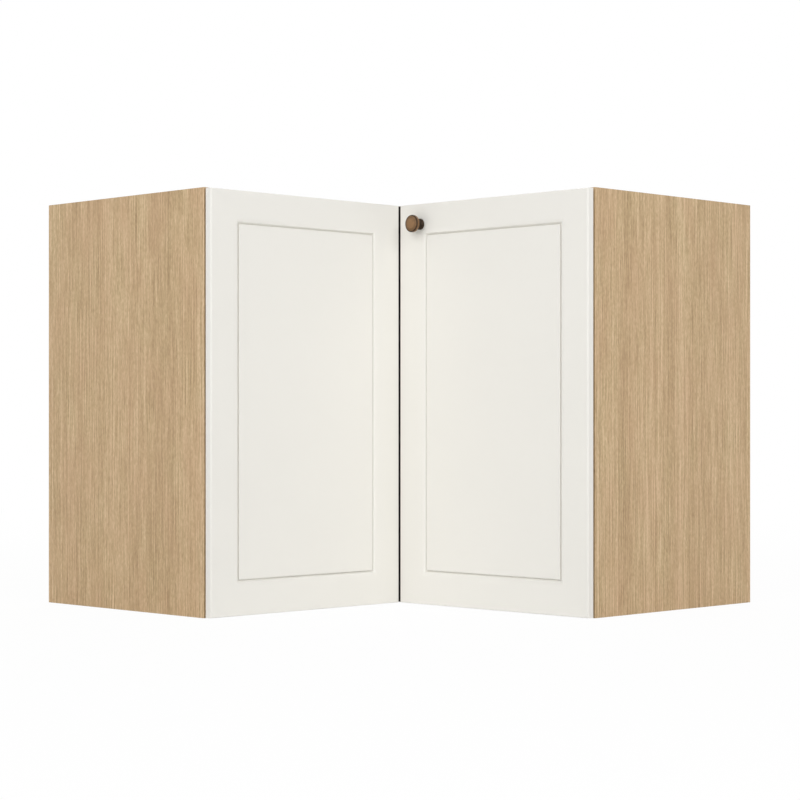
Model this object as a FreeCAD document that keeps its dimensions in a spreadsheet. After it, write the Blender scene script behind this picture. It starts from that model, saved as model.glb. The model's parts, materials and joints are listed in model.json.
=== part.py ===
import FreeCAD, Part
import os
import Sketcher

# Corner base cabinet: an L-shaped carcass of laminated boards, closed by a pair of doors
# that fold together at the inside corner and swing on the right end panel.
# The room corner lies at -X +Y. The right leg runs along the back wall and its door faces -Y,
# the left leg runs along the side wall and its door faces +X. The floor is Z = 0.

DRIVING_SIZES = (
    # Carcass
    ("side_length", 900.0, "overall length along each wall"),
    ("height", 720.0, "overall height"),
    ("carcass_depth", 438.0, "wall to the front edge of the boards"),
    ("board", 16.0, "thickness of the laminated boards"),
    ("back_sheet", 3.0, "thickness of the back sheets"),
    ("back_rebate", 8.0, "width of the rebate for a back sheet in an end panel"),
    ("sheet_clearance", 0.2, "play of a back sheet in its rebate"),
    ("corner_board_width", 100.0, "width of the upright boards in the room corner"),
    ("rail_height", 100.0, "height of the wall fixing rails"),
    ("fit_clearance", 0.1, "radial play of a fastener in its hole"),
    # Doors
    ("door_gap", 3.5, "between a closed door and the carcass"),
    ("door_thickness", 15.0, "thickness of a door"),
    ("door_side_reveal", 0.3, "door edge inside the end panel's outer face"),
    ("door_top_reveal", 2.0, "door edge below the top of the carcass"),
    ("door_bottom_reveal", 1.0, "door edge above the bottom of the carcass"),
    ("door_corner_gap", 2.0, "door edge to the other door's face plane, at the inside corner"),
    ("door_edge_radius", 2.5, "rounding of the front edges"),
    ("door_inner_radius", 1.0, "rounding of the front edge at the inside corner"),
    ("door_back_radius", 2.0, "rounding of the outer edge at the back, for the swing"),
    ("top_rail", 45.0, "flat of the milled frame at the top"),
    ("bottom_rail", 49.0, "flat of the milled frame at the bottom"),
    ("outer_stile", 51.1, "flat of the milled frame at the outer edge"),
    ("inner_stile", 52.3, "flat of the milled frame at the inside corner"),
    ("moulding_width", 8.0, "gently sloped moulding between the frame's flat and the groove"),
    ("moulding_drop", 1.2, "depth of the moulding where the groove begins"),
    ("groove_width", 4.2, "groove round the panel"),
    ("groove_lean", 3.0, "how far the groove's wall on the frame's side leans"),
    ("groove_depth", 6.2, "depth of the groove's floor below the frame"),
    ("panel_recess", 2.2, "depth of the panel below the frame"),
    ("seal_thickness", 1.5, "soft strip that closes the gap between the doors"),
    ("seal_lip", 7.0, "how far the strip stands out from the right door's edge"),
    ("seal_kerf", 3.0, "how far the strip sits in the right door"),
    ("seal_setback", 2.0, "door face to the strip"),
    ("seal_inset", 0.5, "door's top and bottom edges to the strip's ends"),
    # Knob
    ("knob_from_edge", 50.6, "door's inner edge to the knob's axis"),
    ("knob_from_top", 36.5, "door's top edge to the knob's axis"),
    ("knob_projection", 26.0, "door face to the crown of the knob"),
    ("knob_base_radius", 10.0, "foot of the knob"),
    ("knob_base_height", 2.5, "straight part of the foot"),
    ("knob_neck_radius", 6.5, "waist of the knob"),
    ("knob_neck_height", 12.0, "door face to the waist"),
    ("knob_head_radius", 15.5, "widest part of the knob"),
    ("knob_head_height", 17.8, "door face to the underside of the head's rim"),
    ("knob_rim", 5.0, "straight rim of the head"),
    ("knob_crown_radius", 8.0, "flat of the crown"),
    ("knob_rounding", 1.2, "rounding of the knob's edges"),
    ("knob_screw_radius", 2.0, "screw through the door into the knob"),
    ("knob_screw_head_radius", 4.0, "its head"),
    ("knob_screw_head_height", 2.2, "its head"),
    ("knob_screw_bite", 11.0, "its length inside the knob"),
    # Shelf
    ("shelf_height", 352.0, "floor to the underside of the shelf"),
    ("shelf_setback", 30.0, "carcass front to the shelf's front edge"),
    ("shelf_clearance", 1.0, "play around the shelf"),
    ("pin_radius", 2.5, "shelf pin"),
    ("pin_bite", 8.0, "shelf pin inside the board"),
    ("pin_reach", 9.0, "shelf pin under the shelf"),
    ("pin_collar_radius", 4.0, "radius of the pin's collar"),
    ("pin_seat", 0.1, "play between pin and shelf"),
    ("pin_pitch", 32.0, "spacing of the holes in a row"),
    ("pin_front", 70.0, "carcass front to the front row of holes"),
    ("pin_rear", 60.0, "back sheet to the rear row of holes"),
    ("pin_corner", 60.0, "room corner to the row in a corner board"),
    # Board fittings
    ("cam_radius", 7.5, "eccentric lock"),
    ("cam_depth", 12.5, "eccentric lock"),
    ("cam_setback", 24.0, "end panel's inner face to the lock's axis"),
    ("cam_front", 50.0, "carcass front to the front lock"),
    ("cam_rear", 60.0, "back sheet to the rear lock"),
    ("bolt_radius", 3.0, "bolt between lock and end panel"),
    ("bolt_bite", 11.0, "bolt inside the end panel"),
    ("dowel_radius", 4.0, "wood dowel"),
    ("dowel_length", 29.0, "wood dowel"),
    ("dowel_bite", 11.0, "wood dowel inside the end panel"),
    ("dowel_offset", 32.0, "lock to dowel"),
    ("board_screw_radius", 2.5, "screw through top or bottom into an upright board"),
    ("board_screw_head_radius", 4.5, "its sunk head"),
    ("board_screw_head_height", 3.0, "its sunk head"),
    ("board_screw_length", 42.0, "its shank"),
    ("board_screw_inset", 25.0, "edge of an upright board to its screw"),
    ("rail_screw_inset", 120.0, "end of a rail to its screw"),
    ("tack_radius", 1.5, "small screw through a back sheet"),
    ("tack_head_radius", 3.0, "its sunk head"),
    ("tack_head_height", 1.6, "its sunk head"),
    ("tack_length", 14.0, "its shank"),
    ("tack_spacing", 300.0, "between small screws along an edge"),
    ("tack_rise", 240.0, "between small screws up a corner board"),
    # Holes for the fitter
    ("wall_hole_radius", 4.0, "hole for a wall screw in a fixing rail"),
    ("wall_hole_spacing", 500.0, "between the wall screws of a rail"),
    ("wall_hole_centre", 60.0, "middle of the pair from the cabinet's centre line"),
    ("worktop_hole_radius", 2.5, "hole for a worktop screw in the top panel"),
    ("worktop_hole_inset", 60.0, "end panel and carcass front to the first holes"),
    ("worktop_spacing_along", 300.0, "between worktop holes along a leg"),
    ("worktop_spacing_across", 310.0, "between worktop holes across a leg"),
    # Hinges between the right door and the right end panel
    ("hinge_inset", 92.0, "bottom and top of the carcass to the lower and upper hinge"),
    ("hinge_middle_drop", 240.0, "top of the carcass to the middle hinge"),
    ("pivot_from_edge", 7.5, "door's outer edge to the hinge pin"),
    ("pivot_from_back", 8.2, "door's back to the hinge pin"),
    ("hinge_pin_radius", 1.2, "hinge pin"),
    ("hinge_pin_length", 18.6, "hinge pin"),
    ("running_clearance", 0.08, "radial play of a hinge pin"),
    ("eye_radius", 2.6, "eye of the hinge arm"),
    ("arm_thickness", 2.4, "strip of the hinge arm"),
    ("arm_width", 10.0, "hinge arm inside the cup"),
    ("arm_seat_width", 16.0, "hinge arm on its plate"),
    ("arm_seat_start", 8.0, "carcass front to the wide part of the arm"),
    ("arm_length", 62.0, "carcass front to the end of the arm"),
    ("plate_wing", 3.0, "thickness of the mounting plate's wings"),
    ("plate_rail", 6.0, "thickness of the mounting plate's rail"),
    ("plate_line", 37.0, "carcass front to the plate's screw line"),
    ("plate_wing_width", 18.0, "mounting plate's wings"),
    ("plate_wing_height", 50.0, "mounting plate's wings"),
    ("plate_rail_start", 14.0, "carcass front to the plate's rail"),
    ("plate_rail_end", 66.0, "carcass front to the rear of the plate's rail"),
    ("plate_rail_height", 14.0, "mounting plate's rail"),
    ("plate_seat", 0.1, "play between arm and plate"),
    ("plate_screw_radius", 2.0, "screw of a mounting plate"),
    ("plate_screw_head_radius", 3.8, "its head"),
    ("plate_screw_head_height", 2.0, "its head"),
    ("plate_screw_length", 14.0, "its shank"),
    ("plate_screw_spacing", 32.0, "between a plate's screws"),
    ("arm_screw_radius", 2.0, "screw of a hinge arm"),
    ("arm_screw_head_radius", 3.6, "its head"),
    ("arm_screw_head_height", 1.8, "its head"),
    ("arm_screw_length", 7.0, "its shank"),
    ("cup_radius", 17.5, "bore for a hinge cup in the door"),
    ("cup_depth", 12.2, "bore for a hinge cup in the door"),
    ("cup_edge", 2.5, "door's outer edge to the bore"),
    ("cup_wall", 0.9, "wall of the cup"),
    ("cup_boss_width", 4.0, "block that holds the pin in the cup"),
    ("cup_boss_height", 6.4, "block that holds the pin in the cup"),
    ("cup_boss_gap", 0.3, "play between arm and block"),
    ("cup_boss_length", 3.9, "block along the pin"),
    ("ear_thickness", 1.2, "flange of the cup"),
    ("ear_width", 14.0, "flange of the cup"),
    ("ear_height", 60.0, "flange of the cup"),
    ("ear_offset", 9.5, "cup's axis to the flange's screw line"),
    ("cup_screw_radius", 1.8, "screw of a hinge cup"),
    ("cup_screw_head_radius", 3.4, "its head"),
    ("cup_screw_head_height", 1.2, "its head"),
    ("cup_screw_length", 11.0, "its shank"),
    ("cup_screw_spacing", 48.0, "between a cup's screws"),
    # Hinges between the two doors
    ("fold_inset", 170.0, "bottom and top of the carcass to the fold hinges"),
    ("fold_depth", 9.0, "door faces to the fold pin"),
    ("barrel_radius", 3.2, "knuckle of a fold hinge"),
    ("fold_pin_radius", 1.6, "pin of a fold hinge"),
    ("leaf_thickness", 2.0, "leaf of a fold hinge"),
    ("leaf_length", 46.0, "leaf on the back of a door"),
    ("leaf_height", 50.0, "leaf on the back of a door"),
    ("knuckle_height", 16.0, "middle knuckle"),
    ("knuckle_gap", 0.3, "play between knuckles"),
    ("leaf_screw_radius", 2.0, "screw of a leaf"),
    ("leaf_screw_head_radius", 3.6, "its head"),
    ("leaf_screw_head_height", 1.4, "its head"),
    ("leaf_screw_length", 12.0, "its shank"),
    ("leaf_screw_spacing", 30.0, "between a leaf's screws"),
    ("leaf_screw_inset", 12.0, "end of the leaf to its screws"),
    # Bumpers for the left door
    ("bumper_radius", 4.0, "soft pad on the left end panel"),
    ("bumper_gap", 0.3, "pad to the closed door"),
    ("bumper_inset", 8.0, "end panel's outer face to the pad's axis"),
    ("bumper_from_end", 60.0, "top and bottom of the carcass to a pad"),
)

doc = FreeCAD.newDocument("corner_base_cabinet")
sheet = doc.addObject("Spreadsheet::Sheet", "sizes")
for row, (alias, value, meaning) in enumerate(DRIVING_SIZES, start=1):
    sheet.set(f"A{row}", alias)
    sheet.set(f"B{row}", str(value))
    sheet.set(f"C{row}", meaning)
    sheet.setAlias(f"B{row}", alias)
doc.recompute()

# Planes and places shared by several pieces, as expressions over the sheet
HALF = "(sizes.side_length / 2)"
FRONT = f"({HALF} - sizes.carcass_depth)"
WALL = f"({HALF} - sizes.board)"
BACK = f"({HALF} - sizes.back_sheet)"
CEILING = "(sizes.height - sizes.board)"
UPRIGHT = f"({CEILING} - sizes.board)"
DOOR_BACK = f"({FRONT} - sizes.door_gap)"
DOOR_FACE = f"({DOOR_BACK} - sizes.door_thickness)"
INNER_EDGE = f"(sizes.door_corner_gap - {DOOR_FACE})"
OUTER_EDGE = f"({HALF} - sizes.door_side_reveal)"
DOOR_WIDTH = f"({OUTER_EDGE} - {INNER_EDGE})"
DOOR_HEIGHT = "(sizes.height - sizes.door_top_reveal - sizes.door_bottom_reveal)"
DOOR_TOP = "(sizes.height - sizes.door_top_reveal)"
PIVOT_X = f"({OUTER_EDGE} - sizes.pivot_from_edge)"
PIVOT_Y = f"({DOOR_BACK} - sizes.pivot_from_back)"
CUP_X = f"({OUTER_EDGE} - sizes.cup_edge - sizes.cup_radius)"
FOLD_X = f"(-{DOOR_FACE} - sizes.fold_depth)"
FOLD_Y = f"({DOOR_FACE} + sizes.fold_depth)"
ARM_OUTER = f"({WALL} - sizes.plate_rail - sizes.plate_seat)"
ARM_INNER = f"({ARM_OUTER} - sizes.arm_thickness)"
SCREW_LINE = f"({FRONT} + sizes.plate_line)"
LEAF_OUTER = f"({DOOR_BACK} + sizes.leaf_thickness)"
LEAF_END = f"({INNER_EDGE} + sizes.leaf_length)"

LEGS = ("right", "left")
HINGES = {
    "lower": "sizes.hinge_inset",
    "middle": "(sizes.height - sizes.hinge_middle_drop)",
    "upper": "(sizes.height - sizes.hinge_inset)",
}
FOLDS = {
    "lower": "sizes.fold_inset",
    "upper": "(sizes.height - sizes.fold_inset)",
}
PIN_ROW = (-2, -1, 0, 1, 2)
NEAR = 1e-4
AXIS_TURNS = {
    "X": FreeCAD.Rotation(FreeCAD.Vector(0, 1, 0), 90),
    "Y": FreeCAD.Rotation(FreeCAD.Vector(1, 0, 0), -90),
    "Z": FreeCAD.Rotation(),
}
nodes = []


def number(expression):
    """The present value of an expression over the sheet."""
    return float(sheet.evalExpression(expression))


def bind(item, expressions):
    """Tie properties of an object to expressions."""
    for path, expression in expressions.items():
        item.setExpression(path, expression)
    return item


def node(item, label):
    """Name an object as a finished piece of the cabinet."""
    item.Label = label
    nodes.append(item)
    return item


# Blocks, rods and screws. Each is described on the right leg. On the left leg it is mirrored
# over the vertical plane through the room corner and the inside corner.


def block(name, leg, corner, extents):
    """A square-edged block from its lowest corner and its extents."""
    x, y, z = corner
    along, across, tall = extents
    if leg == "left":
        x, y = f"-({y}) - ({across})", f"-({x}) - ({along})"
        along, across = across, along
    item = doc.addObject("Part::Box", name)
    places = {"Placement.Base.x": x, "Placement.Base.y": y, "Placement.Base.z": z}
    return bind(item, {**places, "Length": along, "Width": across, "Height": tall})


def rod(name, leg, axis, sense, start, radius, length):
    """A round rod from a start point, along or against an axis."""
    point = dict(zip("XYZ", start))
    if sense < 0:
        point[axis] = f"{point[axis]} - ({length})"
    if leg == "left":
        far = dict(point)
        if axis in "XY":
            far[axis] = f"{point[axis]} + ({length})"
        point["X"], point["Y"] = f"-({far['Y']})", f"-({far['X']})"
        axis = {"X": "Y", "Y": "X", "Z": "Z"}[axis]
    item = doc.addObject("Part::Cylinder", name)
    item.Placement = FreeCAD.Placement(FreeCAD.Vector(), AXIS_TURNS[axis])
    places = {f"Placement.Base.{key.lower()}": value for key, value in point.items()}
    return bind(item, {**places, "Radius": radius, "Height": length})


def fuse(name, pieces):
    """One solid from pieces that meet."""
    if len(pieces) == 1:
        return pieces[0]
    item = doc.addObject("Part::MultiFuse", name)
    item.Shapes = pieces
    return item


def group(label, pieces):
    """A node of like pieces that stay separate solids."""
    item = doc.addObject("Part::Compound", label)
    item.Links = pieces
    return node(item, label)


def drilled(label, base, drills):
    """A piece with its holes."""
    item = doc.addObject("Part::Cut", label)
    item.Base = base
    item.Tool = fuse(f"{label}_drills", drills)
    return node(item, label)


def step_along(start, axis, sense, distance):
    """A point moved along an axis."""
    point = dict(zip("XYZ", start))
    sign = "+" if sense > 0 else "-"
    point[axis] = f"{point[axis]} {sign} ({distance})"
    return tuple(point.values())


def screw(name, leg, axis, sense, start, kind, play="0"):
    """A headed screw, or its hole when it has play. The start is the middle of the head's top."""
    head_height = f"sizes.{kind}_head_height"
    head_radius = f"sizes.{kind}_head_radius + {play}"
    shank_start = step_along(start, axis, sense, head_height)
    shank_radius = f"sizes.{kind}_radius + {play}"
    shank_length = f"sizes.{kind}_length + {play}"
    head = rod(f"{name}_head", leg, axis, sense, start, head_radius, head_height)
    shank = rod(f"{name}_shank", leg, axis, sense, shank_start, shank_radius, shank_length)
    return fuse(name, [head, shank])


def screw_and_hole(name, leg, axis, sense, start, kind):
    """A screw with the hole that it sits in."""
    solid = screw(name, leg, axis, sense, start, kind)
    hole = screw(f"{name}_hole", leg, axis, sense, start, kind, "sizes.fit_clearance")
    return solid, hole


def rod_and_hole(name, leg, axis, sense, start, radius, length):
    """A plain rod with the hole that it sits in, which runs on past both ends."""
    play = "sizes.fit_clearance"
    solid = rod(name, leg, axis, sense, start, radius, length)
    mouth = step_along(start, axis, -sense, play)
    hole = rod(f"{name}_hole", leg, axis, sense, mouth, f"{radius} + {play}", f"{length} + 2 * {play}")
    return solid, hole


# Sketched bodies


def origin_plane(body, role):
    """A plane of a body's own origin."""
    return next(feature for feature in body.Origin.OriginFeatures if feature.Role == role)


def new_sketch(body, name, role, offset):
    """An empty sketch on an origin plane, moved along the plane's normal."""
    sketch = body.newObject("Sketcher::SketchObject", name)
    sketch.AttachmentSupport = [(origin_plane(body, role), "")]
    sketch.MapMode = "FlatFace"
    return bind(sketch, {"AttachmentOffset.Base.z": offset})


def pin_point(sketch, geometry, position, x, y):
    """Hold a point of a sketch at a place."""
    for kind, expression in (("DistanceX", x), ("DistanceY", y)):
        value = number(expression)
        held = sketch.addConstraint(Sketcher.Constraint(kind, -1, 1, geometry, position, value))
        sketch.setExpression(f"Constraints[{held}]", expression)


def polygon(body, name, role, corners, offset="0"):
    """A closed outline of straight lines."""
    sketch = new_sketch(body, name, role, offset)
    points = [FreeCAD.Vector(number(x), number(y), 0) for x, y in corners]
    count = len(points)
    for index in range(count):
        sketch.addGeometry(Part.LineSegment(points[index], points[(index + 1) % count]), False)
    for index, (x, y) in enumerate(corners):
        sketch.addConstraint(Sketcher.Constraint("Coincident", index, 2, (index + 1) % count, 1))
        pin_point(sketch, index, 1, x, y)
    return sketch


def rectangle(body, name, role, low, high, offset="0"):
    """An upright rectangle from two corners."""
    corners = (low, (high[0], low[1]), high, (low[0], high[1]))
    return polygon(body, name, role, corners, offset)


def circle(body, name, role, centre, radius, offset="0"):
    """A round outline."""
    sketch = new_sketch(body, name, role, offset)
    middle = FreeCAD.Vector(number(centre[0]), number(centre[1]), 0)
    ring = sketch.addGeometry(Part.Circle(middle, FreeCAD.Vector(0, 0, 1), number(radius)), False)
    pin_point(sketch, ring, 3, centre[0], centre[1])
    held = sketch.addConstraint(Sketcher.Constraint("Radius", ring, number(radius)))
    sketch.setExpression(f"Constraints[{held}]", radius)
    return sketch


def pad(body, sketch, length, against=False):
    """Raise an outline along its plane's normal, or against it."""
    feature = body.newObject("PartDesign::Pad", f"{sketch.Name}_pad")
    feature.Profile = sketch
    feature.Reversed = against
    return bind(feature, {"Length": length})


def pocket(body, sketch, depth, along=False):
    """Cut an outline in against its plane's normal, or along it."""
    feature = body.newObject("PartDesign::Pocket", f"{sketch.Name}_pocket")
    feature.Profile = sketch
    feature.Reversed = along
    return bind(feature, {"Length": depth})


def fillet(body, base, radius, chosen):
    """Round the edges of a feature for which chosen is true."""
    doc.recompute()
    edges = [f"Edge{index}" for index, edge in enumerate(base.Shape.Edges, start=1) if chosen(edge)]
    feature = body.newObject("PartDesign::Fillet", f"{base.Name}_fillet")
    feature.Base = (base, edges)
    return bind(feature, {"Radius": radius})


def edge_lies(edge, axis, value):
    """Whether every point of an edge has this coordinate."""
    return all(abs(getattr(vertex.Point, axis) - value) < NEAR for vertex in edge.Vertexes)


def edge_meets(edge, axis, value):
    """Whether any point of an edge has this coordinate."""
    return any(abs(getattr(vertex.Point, axis) - value) < NEAR for vertex in edge.Vertexes)


# Carcass boards and their fittings


def end_panel(leg):
    """An upright end panel with the rebate for its back sheet."""
    name = f"{leg}_end_panel"
    panel = block(f"{name}_board", leg, (WALL, FRONT, "0"),
                  ("sizes.board", "sizes.carcass_depth", "sizes.height"))
    rebate_start = f"{BACK} - sizes.sheet_clearance"
    rebate_size = ("sizes.back_rebate", "sizes.back_sheet + sizes.sheet_clearance", "sizes.height")
    rebate = block(f"{name}_rebate", leg, (WALL, rebate_start, "0"), rebate_size)
    return panel, rebate


def corner_shaped_body(name, corners, thickness, level):
    """A flat board cut to an L."""
    body = doc.addObject("PartDesign::Body", f"{name}_board")
    pad(body, polygon(body, f"{name}_outline", "XY_Plane", corners), thickness)
    return bind(body, {"Placement.Base.z": level})


def lead(leg, thickness):
    """The side wall's pieces start where the back wall's pieces end, in the room corner."""
    return "0" if leg == "right" else thickness


def wall_name(leg):
    """Which wall a leg stands along."""
    return {"right": "rear", "left": "side"}[leg]


full_outline = (
    (f"-{BACK}", BACK),
    (f"-{BACK}", f"-{WALL}"),
    (f"-{FRONT}", f"-{WALL}"),
    (f"-{FRONT}", FRONT),
    (WALL, FRONT),
    (WALL, BACK),
)
bottom_board = corner_shaped_body("bottom_panel", full_outline, "sizes.board", "0")
top_board = corner_shaped_body("top_panel", full_outline, "sizes.board", CEILING)

SHELF_FRONT = f"({FRONT} + sizes.shelf_setback)"
SHELF_END = f"({WALL} - sizes.shelf_clearance)"
SHELF_BACK = f"({BACK} - sizes.shelf_clearance)"
NOTCH_DEEP = f"({BACK} - sizes.board - sizes.shelf_clearance)"
NOTCH_REAR = f"({BACK} - sizes.corner_board_width - sizes.shelf_clearance)"
NOTCH_SIDE = f"({NOTCH_REAR} - sizes.board)"
shelf_outline = (
    (f"-{SHELF_BACK}", NOTCH_SIDE),
    (f"-{SHELF_BACK}", f"-{SHELF_END}"),
    (f"-{SHELF_FRONT}", f"-{SHELF_END}"),
    (f"-{SHELF_FRONT}", SHELF_FRONT),
    (SHELF_END, SHELF_FRONT),
    (SHELF_END, SHELF_BACK),
    (f"-{NOTCH_REAR}", SHELF_BACK),
    (f"-{NOTCH_REAR}", NOTCH_DEEP),
    (f"-{NOTCH_DEEP}", NOTCH_DEEP),
    (f"-{NOTCH_DEEP}", NOTCH_SIDE),
)
shelf_board = corner_shaped_body("shelf", shelf_outline, "sizes.board", "sizes.shelf_height")
node(shelf_board, "shelf")

cam_locks = []
cam_bolts = []
wood_dowels = []
carcass_screws = []
back_screws = []
shelf_pins = []
bottom_holes = []
top_holes = []
panel_holes = {leg: [] for leg in LEGS}
corner_holes = {leg: [] for leg in LEGS}
rail_holes = {leg: [] for leg in LEGS}
sheet_holes = {leg: [] for leg in LEGS}

# Locks, bolts and dowels where the top and the bottom meet the end panels
CAM_X = f"({WALL} - sizes.cam_setback)"
BOLT_START = f"({CAM_X} + sizes.cam_radius + 2 * sizes.fit_clearance)"
BOLT_LENGTH = f"({WALL} + sizes.bolt_bite - {BOLT_START})"
BOLT_HOLE_LENGTH = "(sizes.cam_setback + sizes.bolt_bite + sizes.fit_clearance)"
DOWEL_START = f"({WALL} + sizes.dowel_bite - sizes.dowel_length)"
CAM_PLACES = {
    "front": (f"({FRONT} + sizes.cam_front)", f"({FRONT} + sizes.cam_front + sizes.dowel_offset)"),
    "rear": (f"({BACK} - sizes.cam_rear)", f"({BACK} - sizes.cam_rear - sizes.dowel_offset)"),
}
LEVELS = {
    "bottom": ("0", 1, "sizes.board / 2", bottom_holes),
    "top": ("sizes.height", -1, "(sizes.height - sizes.board / 2)", top_holes),
}
for leg in LEGS:
    for level, (cam_level, cam_sense, middle, board_holes) in LEVELS.items():
        for place, (cam_y, dowel_y) in CAM_PLACES.items():
            tag = f"{leg}_{level}_{place}"
            cam, cam_hole = rod_and_hole(f"cam_{tag}", leg, "Z", cam_sense, (CAM_X, cam_y, cam_level),
                                         "sizes.cam_radius", "sizes.cam_depth")
            bolt = rod(f"bolt_{tag}", leg, "X", 1, (BOLT_START, cam_y, middle),
                       "sizes.bolt_radius", BOLT_LENGTH)
            bolt_hole = rod(f"bolt_{tag}_hole", leg, "X", 1, (CAM_X, cam_y, middle),
                            "sizes.bolt_radius + sizes.fit_clearance", BOLT_HOLE_LENGTH)
            dowel, dowel_hole = rod_and_hole(f"dowel_{tag}", leg, "X", 1, (DOWEL_START, dowel_y, middle),
                                             "sizes.dowel_radius", "sizes.dowel_length")
            cam_locks.append(cam)
            cam_bolts.append(bolt)
            wood_dowels.append(dowel)
            board_holes += [cam_hole, bolt_hole, dowel_hole]
            panel_holes[leg] += [bolt_hole, dowel_hole]

# Screws through the top and the bottom into the upright boards and rails
UPRIGHT_LINE = f"({BACK} - sizes.board / 2)"
for leg in LEGS:
    corner_start = f"({lead(leg, 'sizes.board')} - {BACK})"
    corner_end = f"({corner_start} + sizes.corner_board_width)"
    corner_spots = (
        f"{corner_start} + sizes.board_screw_inset",
        f"{corner_end} - sizes.board_screw_inset",
    )
    rail_spots = (
        f"{corner_end} + sizes.rail_screw_inset",
        f"{WALL} - sizes.rail_screw_inset",
    )
    for level, (face, sense, middle, board_holes) in LEVELS.items():
        for index, spot in enumerate(corner_spots):
            fixing, hole = screw_and_hole(f"{leg}_{level}_corner_screw_{index}", leg, "Z", sense,
                                          (spot, UPRIGHT_LINE, face), "board_screw")
            carcass_screws.append(fixing)
            board_holes.append(hole)
            corner_holes[leg].append(hole)
    for index, spot in enumerate(rail_spots):
        fixing, hole = screw_and_hole(f"{leg}_rail_screw_{index}", leg, "Z", -1,
                                      (spot, UPRIGHT_LINE, "sizes.height"), "board_screw")
        carcass_screws.append(fixing)
        top_holes.append(hole)
        rail_holes[leg].append(hole)

# Small screws that hold the back sheets
for leg in LEGS:
    for level, (face, sense, middle, board_holes) in LEVELS.items():
        for step in (-1, 0, 1):
            spot = (f"{step} * sizes.tack_spacing", HALF, middle)
            tack, hole = screw_and_hole(f"{leg}_{level}_tack_{step + 1}", leg, "Y", -1, spot, "tack")
            back_screws.append(tack)
            board_holes.append(hole)
            sheet_holes[leg].append(hole)
    corner_middle = f"{lead(leg, 'sizes.board')} - {BACK} + sizes.corner_board_width / 2"
    for step in (-1, 1):
        spot = (corner_middle, HALF, f"sizes.height / 2 + {step} * sizes.tack_rise / 2")
        tack, hole = screw_and_hole(f"{leg}_corner_tack_{step + 1}", leg, "Y", -1, spot, "tack")
        back_screws.append(tack)
        corner_holes[leg].append(hole)
        sheet_holes[leg].append(hole)

# Shelf pins in the middle hole of each row
PIN_LEVEL = "(sizes.shelf_height - sizes.pin_seat - sizes.pin_radius)"
PIN_LENGTH = "(sizes.pin_bite + sizes.pin_reach)"
CORNER_FACE = f"({BACK} - sizes.board)"
for leg in LEGS:
    rows = {
        "front": ("X", WALL, f"({FRONT} + sizes.pin_front)", panel_holes),
        "rear": ("X", WALL, f"({BACK} - sizes.pin_rear)", panel_holes),
        "corner": ("Y", f"(sizes.pin_corner - {BACK})", CORNER_FACE, corner_holes),
    }
    for row, (axis, x, y, holes) in rows.items():
        for step in PIN_ROW:
            face = (x, y, f"{PIN_LEVEL} + {step} * sizes.pin_pitch")
            deepest = step_along(face, axis, 1, "sizes.pin_bite")
            shank, hole = rod_and_hole(f"{leg}_{row}_pin_{step + 2}", leg, axis, -1, deepest,
                                       "sizes.pin_radius", "sizes.pin_bite" if step else PIN_LENGTH)
            holes[leg].append(hole)
            if step == 0:
                collar = rod(f"{leg}_{row}_collar", leg, axis, -1, face,
                             "sizes.pin_collar_radius", "sizes.shelf_clearance - sizes.pin_seat")
                shelf_pins.append(fuse(f"{leg}_{row}_shelf_pin", [shank, collar]))

# Upright boards, rails and back sheets along the two walls
WALL_HOLE_LEVEL = f"({CEILING} - sizes.rail_height / 2)"
SHEET_START = f"-{HALF}"
SHEET_END = f"({WALL} + sizes.back_rebate - sizes.sheet_clearance)"
for leg in LEGS:
    wall = wall_name(leg)
    corner_start = f"({lead(leg, 'sizes.board')} - {BACK})"
    rail_start = f"({corner_start} + sizes.corner_board_width)"
    wall_drills = []
    for step in (-1, 1):
        along = f"sizes.wall_hole_centre + {step} * sizes.wall_hole_spacing / 2"
        spot = (along, CORNER_FACE, WALL_HOLE_LEVEL)
        wall_drills.append(rod(f"{wall}_wall_hole_{step + 1}", leg, "Y", 1, spot,
                               "sizes.wall_hole_radius", "sizes.board + sizes.back_sheet"))
    upright = block(f"{wall}_corner_blank", leg, (corner_start, CORNER_FACE, "sizes.board"),
                    ("sizes.corner_board_width", "sizes.board", UPRIGHT))
    drilled(f"{wall}_corner_board", upright, corner_holes[leg])
    rail = block(f"{wall}_rail_blank", leg, (rail_start, CORNER_FACE, f"{CEILING} - sizes.rail_height"),
                 (f"{WALL} - {rail_start}", "sizes.board", "sizes.rail_height"))
    drilled(f"{wall}_fixing_rail", rail, rail_holes[leg] + wall_drills)
    sheet_start = f"({lead(leg, 'sizes.back_sheet')} + {SHEET_START})"
    back = block(f"{wall}_back_blank", leg, (sheet_start, BACK, "0"),
                 (f"{SHEET_END} - {sheet_start}", "sizes.back_sheet", "sizes.height"))
    drilled(f"{wall}_back_panel", back, sheet_holes[leg] + wall_drills)

# Holes for worktop screws
for leg in LEGS:
    for along in (0, 1):
        for across in (0, 1):
            spot = (
                f"{WALL} - sizes.worktop_hole_inset - {along} * sizes.worktop_spacing_along",
                f"{FRONT} + sizes.worktop_hole_inset + {across} * sizes.worktop_spacing_across",
                CEILING,
            )
            top_holes.append(rod(f"{leg}_worktop_hole_{along}_{across}", leg, "Z", 1, spot,
                                 "sizes.worktop_hole_radius", "sizes.board"))

drilled("bottom_panel", bottom_board, bottom_holes)
drilled("top_panel", top_board, top_holes)
group("cam_locks", cam_locks)
group("cam_bolts", cam_bolts)
group("wood_dowels", wood_dowels)
group("carcass_screws", carcass_screws)
group("back_screws", back_screws)
group("shelf_pins", shelf_pins)

# Soft pads on the left end panel's front edge, where the free door closes
bumpers = []
for name, level in (("low", "sizes.bumper_from_end"), ("high", "(sizes.height - sizes.bumper_from_end)")):
    spot = (f"{HALF} - sizes.bumper_inset", FRONT, level)
    bumpers.append(rod(f"bumper_{name}", "left", "Y", -1, spot, "sizes.bumper_radius",
                       "sizes.door_gap - sizes.bumper_gap"))
group("door_bumpers", bumpers)


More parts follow.
